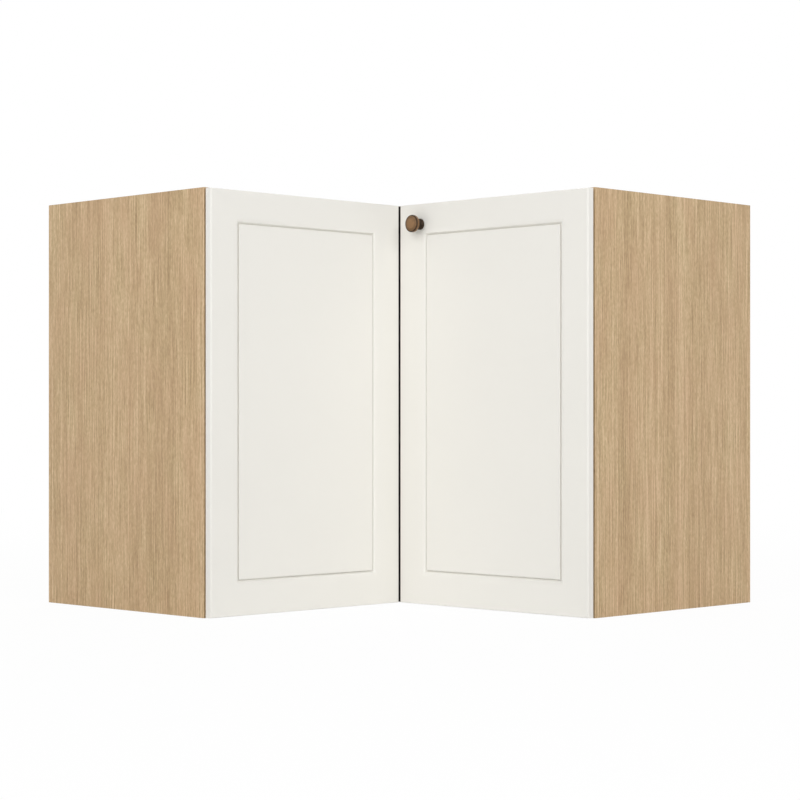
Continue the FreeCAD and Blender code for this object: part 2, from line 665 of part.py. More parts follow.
# Hinges between the right door and the right end panel


def hinge_plate(name, level):
    """A mounting plate: wings with two screw holes and a raised rail."""
    body = doc.addObject("PartDesign::Body", f"{name}_blank")
    wing_half = "sizes.plate_wing_width / 2"
    wing_low = (f"{SCREW_LINE} - {wing_half}", "-sizes.plate_wing_height / 2")
    wing_high = (f"{SCREW_LINE} + {wing_half}", "sizes.plate_wing_height / 2")
    wings = rectangle(body, f"{name}_wings", "YZ_Plane", wing_low, wing_high)
    pad(body, wings, "sizes.plate_wing")
    rail_low = (f"{FRONT} + sizes.plate_rail_start", "-sizes.plate_rail_height / 2")
    rail_high = (f"{FRONT} + sizes.plate_rail_end", "sizes.plate_rail_height / 2")
    rise = "sizes.plate_wing - sizes.plate_rail"
    rail = rectangle(body, f"{name}_rail", "YZ_Plane", rail_low, rail_high, rise)
    pad(body, rail, "sizes.plate_rail")
    return bind(body, {"Placement.Base.x": f"{WALL} - sizes.plate_wing", "Placement.Base.z": level})


def hinge_arm(name, level):
    """A strip on the mounting plate that hooks forward into the cup, to the eye on the pin."""
    body = doc.addObject("PartDesign::Body", f"{name}_blank")
    strip_half = "sizes.arm_thickness / 2"
    strip_end = f"{FRONT} + sizes.arm_length"
    hook = (
        (ARM_INNER, strip_end),
        (ARM_INNER, f"{PIVOT_Y} - {strip_half}"),
        (PIVOT_X, f"{PIVOT_Y} - {strip_half}"),
        (PIVOT_X, f"{PIVOT_Y} + {strip_half}"),
        (ARM_OUTER, f"{PIVOT_Y} + {strip_half}"),
        (ARM_OUTER, strip_end),
    )
    pad(body, polygon(body, f"{name}_hook", "XY_Plane", hook), "sizes.arm_width")
    eye = circle(body, f"{name}_eye", "XY_Plane", (PIVOT_X, PIVOT_Y), "sizes.eye_radius")
    pad(body, eye, "sizes.arm_width")
    seat_low = (ARM_INNER, f"{FRONT} + sizes.arm_seat_start")
    side_step = "(sizes.arm_width - sizes.arm_seat_width) / 2"
    seat = rectangle(body, f"{name}_seat", "XY_Plane", seat_low, (ARM_OUTER, strip_end), side_step)
    pad(body, seat, "sizes.arm_seat_width")
    return bind(body, {"Placement.Base.z": f"{level} - sizes.arm_width / 2"})


def hinge_cup(name, level):
    """A round cup sunk in the door's back, with screw ears and two blocks that hold the pin."""
    body = doc.addObject("PartDesign::Body", f"{name}_blank")
    outer = "(sizes.cup_radius - sizes.fit_clearance)"
    inner = f"({outer} - sizes.cup_wall)"
    shell = circle(body, f"{name}_shell", "XY_Plane", ("0", "0"), outer)
    pad(body, shell, "sizes.cup_depth")
    hollow = circle(body, f"{name}_hollow", "XY_Plane", ("0", "0"), inner, "sizes.cup_depth")
    pocket(body, hollow, "sizes.cup_depth - sizes.cup_wall")
    ear_half = "sizes.ear_width / 2"
    ear_low = (f"-sizes.ear_offset - {ear_half}", "-sizes.ear_height / 2")
    ear_high = (f"-sizes.ear_offset + {ear_half}", "sizes.ear_height / 2")
    ears = rectangle(body, f"{name}_ears", "XY_Plane", ear_low, ear_high, "sizes.cup_depth")
    pad(body, ears, "sizes.ear_thickness")
    mouth_level = "sizes.cup_depth + sizes.ear_thickness"
    mouth = circle(body, f"{name}_mouth", "XY_Plane", ("0", "0"), inner, mouth_level)
    pocket(body, mouth, "sizes.ear_thickness")
    pin_reach = f"({PIVOT_X} - {CUP_X})"
    boss_start = "(sizes.arm_width / 2 + sizes.cup_boss_gap)"
    boss_end = f"({boss_start} + sizes.cup_boss_length)"
    boss_near = f"{pin_reach} - sizes.cup_boss_width / 2"
    boss_far = f"{pin_reach} + sizes.cup_boss_width / 2"
    sides = {"low": (f"-{boss_end}", f"-{boss_start}"), "high": (boss_start, boss_end)}
    for side, (first, last) in sides.items():
        low = (boss_near, first)
        boss = rectangle(body, f"{name}_boss_{side}", "XY_Plane", low, (boss_far, last), "sizes.cup_wall / 2")
        pad(body, boss, "sizes.cup_boss_height")
    body.Placement = FreeCAD.Placement(FreeCAD.Vector(), AXIS_TURNS["Y"])
    places = {"x": CUP_X, "y": f"{DOOR_BACK} - sizes.cup_depth", "z": level}
    return bind(body, {f"Placement.Base.{key}": value for key, value in places.items()})


plate_screws = []
arm_screws = []
cup_screws = []
door_holes = {leg: [] for leg in LEGS}
for hinge, level in HINGES.items():
    plate_drills = []
    cup_drills = []
    for step in (-1, 1):
        plate_spot = (
            f"{WALL} - sizes.plate_wing - sizes.plate_screw_head_height",
            SCREW_LINE,
            f"{level} + {step} * sizes.plate_screw_spacing / 2",
        )
        plate_screw, hole = screw_and_hole(f"{hinge}_plate_screw_{step + 1}", "right", "X", 1,
                                           plate_spot, "plate_screw")
        plate_screws.append(plate_screw)
        plate_drills.append(hole)
        panel_holes["right"].append(hole)
        cup_spot = (
            f"{CUP_X} - sizes.ear_offset",
            f"{DOOR_BACK} + sizes.ear_thickness + sizes.cup_screw_head_height",
            f"{level} + {step} * sizes.cup_screw_spacing / 2",
        )
        cup_screw, hole = screw_and_hole(f"{hinge}_cup_screw_{step + 1}", "right", "Y", -1,
                                         cup_spot, "cup_screw")
        cup_screws.append(cup_screw)
        cup_drills.append(hole)
        door_holes["right"].append(hole)
    arm_spot = (f"{ARM_INNER} - sizes.arm_screw_head_height", SCREW_LINE, level)
    arm_screw, arm_hole = screw_and_hole(f"{hinge}_arm_screw", "right", "X", 1, arm_spot, "arm_screw")
    arm_screws.append(arm_screw)
    drilled(f"hinge_plate_{hinge}", hinge_plate(f"hinge_plate_{hinge}", level), plate_drills + [arm_hole])
    pin_start = (PIVOT_X, PIVOT_Y, f"{level} - sizes.hinge_pin_length / 2")
    pin = rod(f"hinge_pin_{hinge}", "right", "Z", 1, pin_start,
              "sizes.hinge_pin_radius", "sizes.hinge_pin_length")
    node(pin, f"hinge_pin_{hinge}")
    pin_hole = rod(f"hinge_pin_hole_{hinge}", "right", "Z", 1, pin_start,
                   "sizes.hinge_pin_radius + sizes.running_clearance", "sizes.hinge_pin_length")
    drilled(f"hinge_arm_{hinge}", hinge_arm(f"hinge_arm_{hinge}", level), [arm_hole, pin_hole])
    drilled(f"hinge_cup_{hinge}", hinge_cup(f"hinge_cup_{hinge}", level), cup_drills + [pin_hole])
    bore_start = (CUP_X, DOOR_BACK, level)
    door_holes["right"].append(rod(f"hinge_bore_{hinge}", "right", "Y", -1, bore_start,
                                   "sizes.cup_radius", "sizes.cup_depth"))
group("hinge_plate_screws", plate_screws)
group("hinge_arm_screws", arm_screws)
group("hinge_cup_screws", cup_screws)
for leg in LEGS:
    panel, rebate = end_panel(leg)
    drilled(f"{leg}_end_panel", panel, panel_holes[leg] + [rebate])


# Hinges between the two doors


def fold_leaf(name, leg, level):
    """A leaf on the back of a door with its neck and knuckles round the fold pin."""
    whole = (f"{level} - sizes.leaf_height / 2", "sizes.leaf_height")
    middle = (f"{level} - sizes.knuckle_height / 2", "sizes.knuckle_height")
    low, tall = whole if leg == "right" else middle
    edge = f"{FOLD_X} - sizes.leaf_thickness / 2"
    leaf = block(f"{name}_leaf", leg, (edge, DOOR_BACK, whole[0]),
                 (f"{LEAF_END} - ({edge})", "sizes.leaf_thickness", whole[1]))
    neck = block(f"{name}_neck", leg, (edge, FOLD_Y, low),
                 ("sizes.leaf_thickness", f"{LEAF_OUTER} - {FOLD_Y}", tall))
    barrel = rod(f"{name}_barrel", leg, "Z", 1, (FOLD_X, FOLD_Y, low), "sizes.barrel_radius", tall)
    return fuse(f"{name}_blank", [leaf, neck, barrel])


def knuckle_gap(name, level):
    """The space that the right leaf leaves for the middle knuckle and its neck."""
    reach = "(sizes.barrel_radius + sizes.knuckle_gap)"
    tall = "(sizes.knuckle_height + 2 * sizes.knuckle_gap)"
    corner = (f"{FOLD_X} - {reach}", f"{FOLD_Y} - {reach}", f"{level} - {tall} / 2")
    return block(name, "right", corner, (f"2 * {reach}", f"{DOOR_BACK} - {FOLD_Y} + {reach}", tall))


fold_screws = {leg: [] for leg in LEGS}
for fold, level in FOLDS.items():
    pin_start = (FOLD_X, FOLD_Y, f"{level} - sizes.leaf_height / 2")
    pin = rod(f"fold_pin_{fold}", "right", "Z", 1, pin_start, "sizes.fold_pin_radius", "sizes.leaf_height")
    node(pin, f"fold_pin_{fold}")
    pin_hole = rod(f"fold_pin_hole_{fold}", "right", "Z", 1, pin_start,
                   "sizes.fold_pin_radius + sizes.running_clearance", "sizes.leaf_height")
    for leg in LEGS:
        drills = [pin_hole]
        for step in (-1, 1):
            spot = (
                f"{LEAF_END} - sizes.leaf_screw_inset",
                f"{LEAF_OUTER} + sizes.leaf_screw_head_height",
                f"{level} + {step} * sizes.leaf_screw_spacing / 2",
            )
            leaf_screw, hole = screw_and_hole(f"{leg}_{fold}_leaf_screw_{step + 1}", leg, "Y", -1,
                                              spot, "leaf_screw")
            fold_screws[leg].append(leaf_screw)
            drills.append(hole)
            door_holes[leg].append(hole)
        if leg == "right":
            drills.append(knuckle_gap(f"knuckle_gap_{fold}", level))
        name = f"{leg}_fold_leaf_{fold}"
        drilled(name, fold_leaf(name, leg, level), drills)
for leg in LEGS:
    group(f"{leg}_fold_screws", fold_screws[leg])


# Doors, each seen from its front: X runs from its left edge to its right edge, its face is at Y = 0


def door_body(name, left_stile, right_stile, outer_side):
    """A slab with rounded front edges, and a panel inside a sloped moulding and a groove."""
    body = doc.addObject("PartDesign::Body", f"{name}_slab")
    slab = rectangle(body, f"{name}_outline", "XZ_Plane", ("0", "0"), (DOOR_WIDTH, DOOR_HEIGHT))
    slab_pad = pad(body, slab, "sizes.door_thickness", against=True)
    left_x, right_x = 0, number(DOOR_WIDTH)
    outer_x, inner_x = (left_x, right_x) if outer_side == "left" else (right_x, left_x)
    back_y = number("sizes.door_thickness")
    inner = fillet(body, slab_pad, "sizes.door_inner_radius",
                   lambda edge: edge_lies(edge, "y", 0) and edge_lies(edge, "x", inner_x))
    front = fillet(body, inner, "sizes.door_edge_radius",
                   lambda edge: edge_lies(edge, "y", 0) and edge_meets(edge, "x", outer_x))
    fillet(body, front, "sizes.door_back_radius",
           lambda edge: edge_lies(edge, "x", outer_x) and edge_lies(edge, "y", back_y))
    low = (left_stile, "sizes.bottom_rail")
    high = (f"{DOOR_WIDTH} - {right_stile}", f"{DOOR_HEIGHT} - sizes.top_rail")

    def inward(step, distance, level):
        """An outline this far inside the frame's flat, at this level."""
        step_low = tuple(f"{value} + {distance}" for value in low)
        step_high = tuple(f"{value} - {distance}" for value in high)
        return rectangle(body, f"{name}_{step}", "XZ_Plane", step_low, step_high, level)

    mouth = rectangle(body, f"{name}_mouth", "XZ_Plane", low, high)
    brink = inward("brink", "sizes.moulding_width", "-sizes.moulding_drop")
    floor = inward("floor", "(sizes.moulding_width + sizes.groove_lean)", "-sizes.groove_depth")
    milled = body.newObject("PartDesign::SubtractiveLoft", f"{name}_milled")
    milled.Profile = mouth
    milled.Sections = [brink, floor]
    milled.Ruled = True
    panel = inward("panel", "(sizes.moulding_width + sizes.groove_width)", "-sizes.groove_depth")
    pad(body, panel, "sizes.groove_depth - sizes.panel_recess")
    return body


# Soft strip in the right door's edge, which closes the gap between the doors

seal_low = (f"{INNER_EDGE} - sizes.seal_lip", f"{DOOR_FACE} + sizes.seal_setback",
            "sizes.door_bottom_reveal + sizes.seal_inset")
seal_size = ("sizes.seal_lip + sizes.seal_kerf", "sizes.seal_thickness",
             f"{DOOR_HEIGHT} - 2 * sizes.seal_inset")
node(block("corner_seal", "right", seal_low, seal_size), "corner_seal")
kerf_low = (seal_low[0], f"{seal_low[1]} - sizes.fit_clearance", "0")
kerf_size = (f"{seal_size[0]} + sizes.fit_clearance", f"{seal_size[1]} + 2 * sizes.fit_clearance",
             "sizes.height")
door_holes["right"].append(block("seal_kerf_cut", "right", kerf_low, kerf_size))

KNOB_X = f"({INNER_EDGE} + sizes.knob_from_edge)"
KNOB_Z = f"({DOOR_TOP} - sizes.knob_from_top)"
knob_screw_start = (KNOB_X, f"{DOOR_BACK} + sizes.knob_screw_head_height", KNOB_Z)
knob_shank_start = (KNOB_X, DOOR_BACK, KNOB_Z)
knob_shank = "(sizes.door_thickness + sizes.knob_screw_bite)"
knob_screw_head = rod("knob_screw_head", "right", "Y", -1, knob_screw_start,
                      "sizes.knob_screw_head_radius", "sizes.knob_screw_head_height")
knob_screw_shank, knob_hole = rod_and_hole("knob_screw_shank", "right", "Y", -1, knob_shank_start,
                                           "sizes.knob_screw_radius", knob_shank)
node(fuse("knob_screw", [knob_screw_head, knob_screw_shank]), "knob_screw")
door_holes["right"].append(knob_hole)

right_slab = door_body("right_door", "sizes.inner_stile", "sizes.outer_stile", "right")
bind(right_slab, {
    "Placement.Base.x": INNER_EDGE,
    "Placement.Base.y": DOOR_FACE,
    "Placement.Base.z": "sizes.door_bottom_reveal",
})
drilled("right_door", right_slab, door_holes["right"])

left_slab = door_body("left_door", "sizes.outer_stile", "sizes.inner_stile", "left")
left_slab.Placement = FreeCAD.Placement(FreeCAD.Vector(), FreeCAD.Rotation(FreeCAD.Vector(0, 0, 1), 90))
bind(left_slab, {
    "Placement.Base.x": f"-{DOOR_FACE}",
    "Placement.Base.y": f"-{OUTER_EDGE}",
    "Placement.Base.z": "sizes.door_bottom_reveal",
})
drilled("left_door", left_slab, door_holes["left"])


def knob_body():
    """A turned knob: a foot, a waist and a wide head with a low crown."""
    body = doc.addObject("PartDesign::Body", "knob_turned")
    rim_top = "(sizes.knob_head_height + sizes.knob_rim)"
    profile = (
        ("0", "0"),
        ("sizes.knob_base_radius", "0"),
        ("sizes.knob_base_radius", "sizes.knob_base_height"),
        ("sizes.knob_neck_radius", "sizes.knob_neck_height"),
        ("sizes.knob_head_radius", "sizes.knob_head_height"),
        ("sizes.knob_head_radius", rim_top),
        ("sizes.knob_crown_radius", "sizes.knob_projection"),
        ("0", "sizes.knob_projection"),
    )
    outline = polygon(body, "knob_outline", "XY_Plane", profile)
    turned = body.newObject("PartDesign::Revolution", "knob_revolution")
    turned.Profile = outline
    turned.ReferenceAxis = (outline, ["V_Axis"])
    turned.Angle = 360
    foot_level = number("sizes.knob_base_height") / 2
    fillet(body, turned, "sizes.knob_rounding",
           lambda edge: len(edge.Vertexes) == 1 and edge.Vertexes[0].Point.y > foot_level)
    body.Placement = FreeCAD.Placement(FreeCAD.Vector(), FreeCAD.Rotation(FreeCAD.Vector(0, 0, 1), 180))
    return bind(body, {"Placement.Base.x": KNOB_X, "Placement.Base.y": DOOR_FACE, "Placement.Base.z": KNOB_Z})


drilled("knob", knob_body(), [knob_hole])

# Build, test and write every piece
doc.recompute()
for item in doc.Objects:
    if "Invalid" in item.State or "Error" in item.State:
        raise RuntimeError(f"{item.Name} failed: {item.State}")
for item in nodes:
    if item.Shape.isNull() or not item.Shape.isValid():
        raise RuntimeError(f"{item.Label} has no valid shape")
    if not item.Shape.Solids:
        raise RuntimeError(f"{item.Label} holds no solid")
os.makedirs("parts", exist_ok=True)
for item in nodes:
    item.Shape.exportStep(f"parts/{item.Label}.step")
print(f"{len(nodes)} pieces written")
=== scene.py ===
import json
import math
import bmesh
import bpy
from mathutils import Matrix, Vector

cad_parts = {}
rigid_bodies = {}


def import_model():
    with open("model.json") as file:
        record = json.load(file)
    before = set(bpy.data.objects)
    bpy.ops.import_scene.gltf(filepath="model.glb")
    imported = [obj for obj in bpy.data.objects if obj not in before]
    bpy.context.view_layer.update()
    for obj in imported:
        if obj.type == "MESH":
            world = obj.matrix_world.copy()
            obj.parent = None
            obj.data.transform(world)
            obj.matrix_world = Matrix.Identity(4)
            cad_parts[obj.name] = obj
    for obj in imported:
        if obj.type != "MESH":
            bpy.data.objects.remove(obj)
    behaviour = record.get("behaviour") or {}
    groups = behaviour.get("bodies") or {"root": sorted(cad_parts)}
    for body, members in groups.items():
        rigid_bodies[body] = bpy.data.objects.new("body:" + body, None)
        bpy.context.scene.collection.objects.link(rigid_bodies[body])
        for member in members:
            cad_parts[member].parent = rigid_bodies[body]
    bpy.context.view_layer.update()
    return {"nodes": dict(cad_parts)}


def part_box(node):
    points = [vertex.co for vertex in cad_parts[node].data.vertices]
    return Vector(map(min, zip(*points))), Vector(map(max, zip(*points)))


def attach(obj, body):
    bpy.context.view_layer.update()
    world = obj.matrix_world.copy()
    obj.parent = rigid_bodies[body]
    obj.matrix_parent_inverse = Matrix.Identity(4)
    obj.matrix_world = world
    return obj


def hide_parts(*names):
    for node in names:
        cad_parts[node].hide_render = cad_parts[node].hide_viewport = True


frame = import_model()

bl_info = {
    "name": "Corner base cabinet",
    "version": (1, 0, 0),
    "blender": (4, 5, 0),
    "location": "View3D > Sidebar > Cabinet",
    "description": "Dresses the corner base cabinet and sets its stage",
    "category": "Object",
}

HINGES = ("lower", "middle", "upper")
FOLDS = ("lower", "upper")
AXES = {"X": Vector((1, 0, 0)), "Y": Vector((0, 1, 0)), "Z": Vector((0, 0, 1))}
SIDES = {sign + name: axis * way for name, axis in AXES.items() for sign, way in (("+", 1), ("-", -1))}

# Millimetres in a metre
METRE = 1000
# Points this near to a plane, in metres, lie in it, and points this near to each other are one
NEAR = 1e-5
SAME_POINT = 2e-6
# Decimals of a metre that are kept where places and sizes are compared, and levels along a screw
PLACE_DECIMALS = 5
LEVEL_DECIMALS = 6
# A face looks to a side if this much of its normal points there
FACING = 0.6
# Turns between faces: flat enough to be one face, and sharp enough for an arris
FLAT_TURN = math.radians(0.5)
ARRIS_TURN = math.radians(50)
ARRIS_STEPS = 2
# Turns above which an edge stays sharp in the shading, in degrees
CREASE = 35
DOOR_CREASE = 40
KNOB_CREASE = 60
# The cabinet's front looks along the diagonal between two walls
DIAGONAL = math.radians(45)
# Most of a noise's values lie between these
NOISE_LOW = 0.3
NOISE_HIGH = 0.7
# Colour sockets of a mix node
MIX_FIRST = 6
MIX_SECOND = 7
MIX_RESULT = 2
WHITE = (1, 1, 1, 1)


# Settings


def linear(red, green, blue):
    """A colour given as it looks on a screen, 0 to 255, as light values."""
    def channel(value):
        share = value / 255
        return share / 12.92 if share <= 0.04045 else ((share + 0.055) / 1.055) ** 2.4
    return channel(red), channel(green), channel(blue)


def tint(name, description, screen_colour):
    """A colour setting."""
    return bpy.props.FloatVectorProperty(name=name, description=description, subtype="COLOR", size=3,
                                         min=0, max=1, default=linear(*screen_colour))


def length(name, description, millimetres):
    """A length setting."""
    return bpy.props.FloatProperty(name=name, description=description, unit="LENGTH", min=0, precision=5,
                                   default=millimetres / METRE)


def amount(name, description, value):
    """A plain number setting."""
    return bpy.props.FloatProperty(name=name, description=description, default=value)


class CabinetColours(bpy.types.PropertyGroup):
    """Colours of the cabinet's finishes."""

    foil: tint("Door foil", "Off-white foil on the doors", (237, 235, 229))
    oak_light: tint("Oak, light", "Early wood of the oak decor", (228, 203, 166))
    oak_mid: tint("Oak, middle", "Body colour of the oak decor", (193, 167, 128))
    oak_dark: tint("Oak, dark", "Late wood of the oak decor", (156, 130, 95))
    oak_blush: tint("Oak, blush", "Warmer patches of the oak decor", (200, 160, 129))
    chip_light: tint("Chipboard, light", "Pale chips of a raw edge", (205, 180, 140))
    chip_dark: tint("Chipboard, dark", "Dark chips of a raw edge", (140, 108, 70))
    fibre: tint("Fibreboard", "Brown outer face of the back sheets", (139, 103, 68))
    white_sheet: tint("White sheet", "Painted inner face of the back sheets", (228, 225, 218))
    bronze: tint("Bronze", "Rubbed bronze of the knob", (144, 111, 78))
    # Patina in the hollows, also used as painted shade on the knob: under its head, at its rim's outline and
    # in the ring round its crown
    patina_and_shade: tint("Patina", "Dark patina in the knob's hollows", (40, 26, 12))
    nickel: tint("Nickel", "Plated hinge parts and screws", (206, 203, 197))
    zinc: tint("Zinc", "Cast locks", (168, 168, 166))
    # The fold hinges' dark lacquer also stands in for the deep shade of the gap between the doors, through
    # which they show
    lacquer: tint("Dark lacquer", "Fold hinges in the inside corner", (44, 41, 37))
    beech: tint("Beech", "Dowels", (206, 170, 124))
    pad: tint("Soft pad", "Bumpers for the free door", (214, 212, 205))
    # The seal is black, and as a dark part behind the gap between the doors it also stands in for the deep
    # shade seen in that gap
    seal: tint("Seal", "Black strip behind the gap between the doors", (26, 25, 24))


class CabinetSizes(bpy.types.PropertyGroup):
    """Sizes of the details that are modelled here."""

    top_rail: length("Top rail", "Flat of a door's frame at the top", 45)
    bottom_rail: length("Bottom rail", "Flat of a door's frame at the bottom", 49)
    outer_stile: length("Outer stile", "Flat of a door's frame at its outer edge", 51.1)
    inner_stile: length("Inner stile", "Flat of a door's frame at the inside corner", 52.3)
    moulding_width: length("Moulding width", "Curved moulding between the frame's flat and the groove", 8)
    moulding_drop: length("Moulding drop", "Depth of the moulding where the groove begins", 1.2)
    groove_width: length("Groove width", "Groove round a door's panel", 4.2)
    groove_depth: length("Groove depth", "Depth of the groove's floor below the frame", 6.2)
    groove_lean: length("Groove lean", "How far the groove's wall on the frame's side leans", 3)
    groove_draft: length("Groove draft", "How far the groove's wall on the panel's side leans", 0.3)
    panel_recess: length("Panel recess", "Depth of the panel below the frame", 2.2)
    door_edge: length("Door edge", "Rounding of a door's front edges", 2.5)
    door_inner_edge: length("Door inner edge", "Rounding of a door's front edge at the inside corner", 1)
    door_back_edge: length("Door back edge", "Rounding of a door's outer edge at the back", 2)
    door_arris: length("Door arris", "Small rounding of a door's other edges", 0.6)
    board_arris: length("Board arris", "Small rounding of the boards' edges", 0.5)
    metal_arris: length("Metal arris", "Small rounding of the hinge parts' edges", 0.35)
    bore_radius: length("Bore radius", "Radius of the bore for a hinge cup", 17.5)
    bore_depth: length("Bore depth", "Depth of the bore for a hinge cup", 12.2)
    seal_play: length("Seal play", "Room round the seal in its slit", 0.1)
    grain_stretch: amount("Grain stretch", "Width of a streak as a share of its length", 0.031)
    fleck_stretch: amount("Fleck stretch", "Width of a fleck as a share of its length", 0.3)
    line_stretch: amount("Line stretch", "Width of a long line of grain as a share of its length", 0.004)
    sway_stretch: amount("Sway stretch", "Width of a bend in the grain as a share of its length", 0.3)
    grain_sway: length("Grain sway", "How far the grain wanders sideways", 6)


class CabinetStage(bpy.types.PropertyGroup):
    """Camera, light and floor."""

    camera_out: length("Camera out", "Camera from the centre line, along each wall's direction", 2736.5)
    camera_height: length("Camera height", "Camera above the floor", 335.4)
    lens: amount("Lens", "Focal length in millimetres", 96)
    shift_x: amount("Shift across", "Lens shift as a share of the picture", 0.0006)
    shift_y: amount("Shift up", "Lens shift as a share of the picture", 0.02175)
    ambient: amount("Ambient", "Strength of the room's light", 0.45)
    key_power: amount("Key lights", "Power of each of the two soft lights, in watts", 98)
    back_power: amount("Back light", "Power of the soft light behind, in watts", 120)
    key_size: length("Key size", "Width of a soft light", 4000)
    key_distance: length("Key distance", "Soft lights from the centre line", 5000)
    key_height: length("Key height", "Soft lights above the floor", 2690)
    key_angle: bpy.props.FloatProperty(name="Key angle", description="Soft lights from the diagonal",
                                       subtype="ANGLE", default=math.radians(30))
    floor_size: length("Floor size", "Width of the floor", 16000)
    floor_shade: amount("Floor shade", "Share of the floor's own shading that the camera sees", 0.04)
    shade_near: length("Shade near", "Distance from the middle at which that shading begins to fade", 1500)
    shade_far: length("Shade far", "Distance from the middle at which that shading is gone", 4000)


# Modelling helpers


def sizes():
    """The detail sizes."""
    return bpy.context.scene.cabinet_sizes


def colours():
    """The finish colours."""
    return bpy.context.scene.cabinet_colours


def select_only(*pieces):
    """Select these objects alone, the last one active."""
    bpy.ops.object.select_all(action="DESELECT")
    for piece in pieces:
        piece.select_set(True)
    bpy.context.view_layer.objects.active = pieces[-1]


def edit(piece):
    """Open a piece in edit mode, with all of it deselected."""
    select_only(piece)
    bpy.ops.object.mode_set(mode="EDIT")
    bpy.ops.mesh.select_mode(type="FACE")
    bpy.ops.mesh.select_all(action="DESELECT")


def leave_edit():
    """Close edit mode."""
    bpy.ops.object.mode_set(mode="OBJECT")


def merge_doubles():
    """In edit mode, merge points that lie on each other, all over a piece."""
    bpy.ops.mesh.select_all(action="SELECT")
    bpy.ops.mesh.remove_doubles(threshold=SAME_POINT)


def pick(piece, kind, test):
    """In edit mode, select the faces, edges or verts that pass a test."""
    bpy.ops.mesh.select_mode(type=kind[:-1].upper())
    bpy.ops.mesh.select_all(action="DESELECT")
    mesh = bmesh.from_edit_mesh(piece.data)
    chosen = [element for element in getattr(mesh, kind) if test(element)]
    if not chosen:
        raise RuntimeError(f"{piece.name} has none of the {kind} to work on")
    for element in chosen:
        element.select_set(True)
    mesh.select_flush_mode()
    bmesh.update_edit_mesh(piece.data)


def primitive(name):
    """The primitive that was just added, named, with its place in its mesh."""
    piece = bpy.context.object
    piece.name = name
    bpy.ops.object.transform_apply(location=True, rotation=True, scale=True)
    return piece


def add_block(name, low, high):
    """A block between two corners."""
    bpy.ops.object.select_all(action="DESELECT")
    bpy.ops.mesh.primitive_cube_add(size=1, location=(low + high) / 2)
    bpy.ops.transform.resize(value=high - low)
    return primitive(name)


def add_rod(name, start, axis, radius, depth, sides):
    """A rod from the middle of one end, along an axis."""
    direction = axis.normalized()
    turn = direction.to_track_quat("Z", "Y").to_euler()
    bpy.ops.object.select_all(action="DESELECT")
    bpy.ops.mesh.primitive_cylinder_add(vertices=sides, radius=radius, depth=depth,
                                        location=start + direction * depth / 2, rotation=turn)
    return primitive(name)


def finish_with(piece, kind, **settings):
    """Give a piece a modifier with its settings, and apply it."""
    modifier = piece.modifiers.new(kind.lower(), kind)
    for key, value in settings.items():
        setattr(modifier, key, value)
    select_only(piece)
    bpy.ops.object.modifier_apply(modifier=modifier.name)


def cut(piece, tool):
    """Take a tool's shape out of a piece."""
    finish_with(piece, "BOOLEAN", operation="DIFFERENCE", solver="EXACT", object=tool)
    bpy.data.objects.remove(tool)


def join(name, parts):
    """One object from several."""
    select_only(*parts)
    if len(parts) > 1:
        bpy.ops.object.join()
    piece = bpy.context.object
    piece.name = name
    return piece


def smooth(piece, degrees=CREASE):
    """Smooth shading with sharp edges kept."""
    select_only(piece)
    bpy.ops.object.shade_smooth_by_angle(angle=math.radians(degrees))


def level_faces(piece):
    """Let the large flat faces, not the rounded edges beside them, set the shading."""
    finish_with(piece, "WEIGHTED_NORMAL", keep_sharp=True)


def copy_of_node(node, name):
    """A merged copy of a CAD node, as a mesh to work on."""
    select_only(frame["nodes"][node])
    bpy.ops.object.duplicate(linked=False)
    piece = bpy.context.object
    bpy.ops.object.parent_clear(type="CLEAR_KEEP_TRANSFORM")
    piece.name = name
    for key in list(piece.keys()):
        del piece[key]
    piece.data.materials.clear()
    edit(piece)
    merge_doubles()
    bpy.ops.mesh.dissolve_limited(angle_limit=FLAT_TURN)
    leave_edit()
    return piece


def soften(piece, offset, shortest):
    """Round the outer arrises of a piece. Shorter edges, as round small holes, stay sharp."""
    edit(piece)
    pick(piece, "edges", lambda edge: edge.is_manifold and edge.is_convex
         and edge.calc_face_angle() > ARRIS_TURN and edge.calc_length() > shortest)
    bpy.ops.mesh.bevel(offset=offset, segments=ARRIS_STEPS, affect="EDGES", clamp_overlap=True)
    merge_doubles()
    leave_edit()
    smooth(piece)
    level_faces(piece)


def moved_copy(piece, shift):
    """A copy of a piece with a mesh of its own, moved along."""
    select_only(piece)
    bpy.ops.object.duplicate(linked=False)
    bpy.ops.transform.translate(value=shift)
    bpy.ops.object.transform_apply(location=True, rotation=True, scale=True)
    return bpy.context.object


def along_nodes(first, nodes):
    """A piece for each of these like nodes: the first one, and copies of it at the others' places."""
    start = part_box(nodes[0])[0]
    return [first] + [moved_copy(first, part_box(node)[0] - start) for node in nodes[1:]]


def looks_to(normal, sides):
    """Whether a face with this normal looks to one of these sides."""
    return any(normal.dot(side) > FACING for side in sides)


def dress(piece, finishes, choose=None):
    """Give a piece its finishes, each face the one that choose names by its normal."""
    piece.data.materials.clear()
    for finish in finishes:
        piece.data.materials.append(finish)
    if choose:
        for face in piece.data.polygons:
            face.material_index = choose(face.normal)


def settle(piece, node, body, slot):
    """Put a finished piece in the place of a CAD node."""
    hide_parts(node)
    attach(piece, body)


def points_box(points):
    """The corners of the box round some points."""
    low = Vector([min(point[i] for point in points) for i in range(3)])
    high = Vector([max(point[i] for point in points) for i in range(3)])
    return low, high


def points_middle(points):
    """The middle of the box round some points."""
    low, high = points_box(points)
    return (low + high) / 2


def span(low, high, direction):
    """The lowest and the highest level of a box along an axis that is given as a direction."""
    return sorted((low.dot(direction), high.dot(direction)))


def rounded(values, decimals=None):
    """Numbers rounded, to be compared."""
    return tuple(round(value, decimals) for value in values)


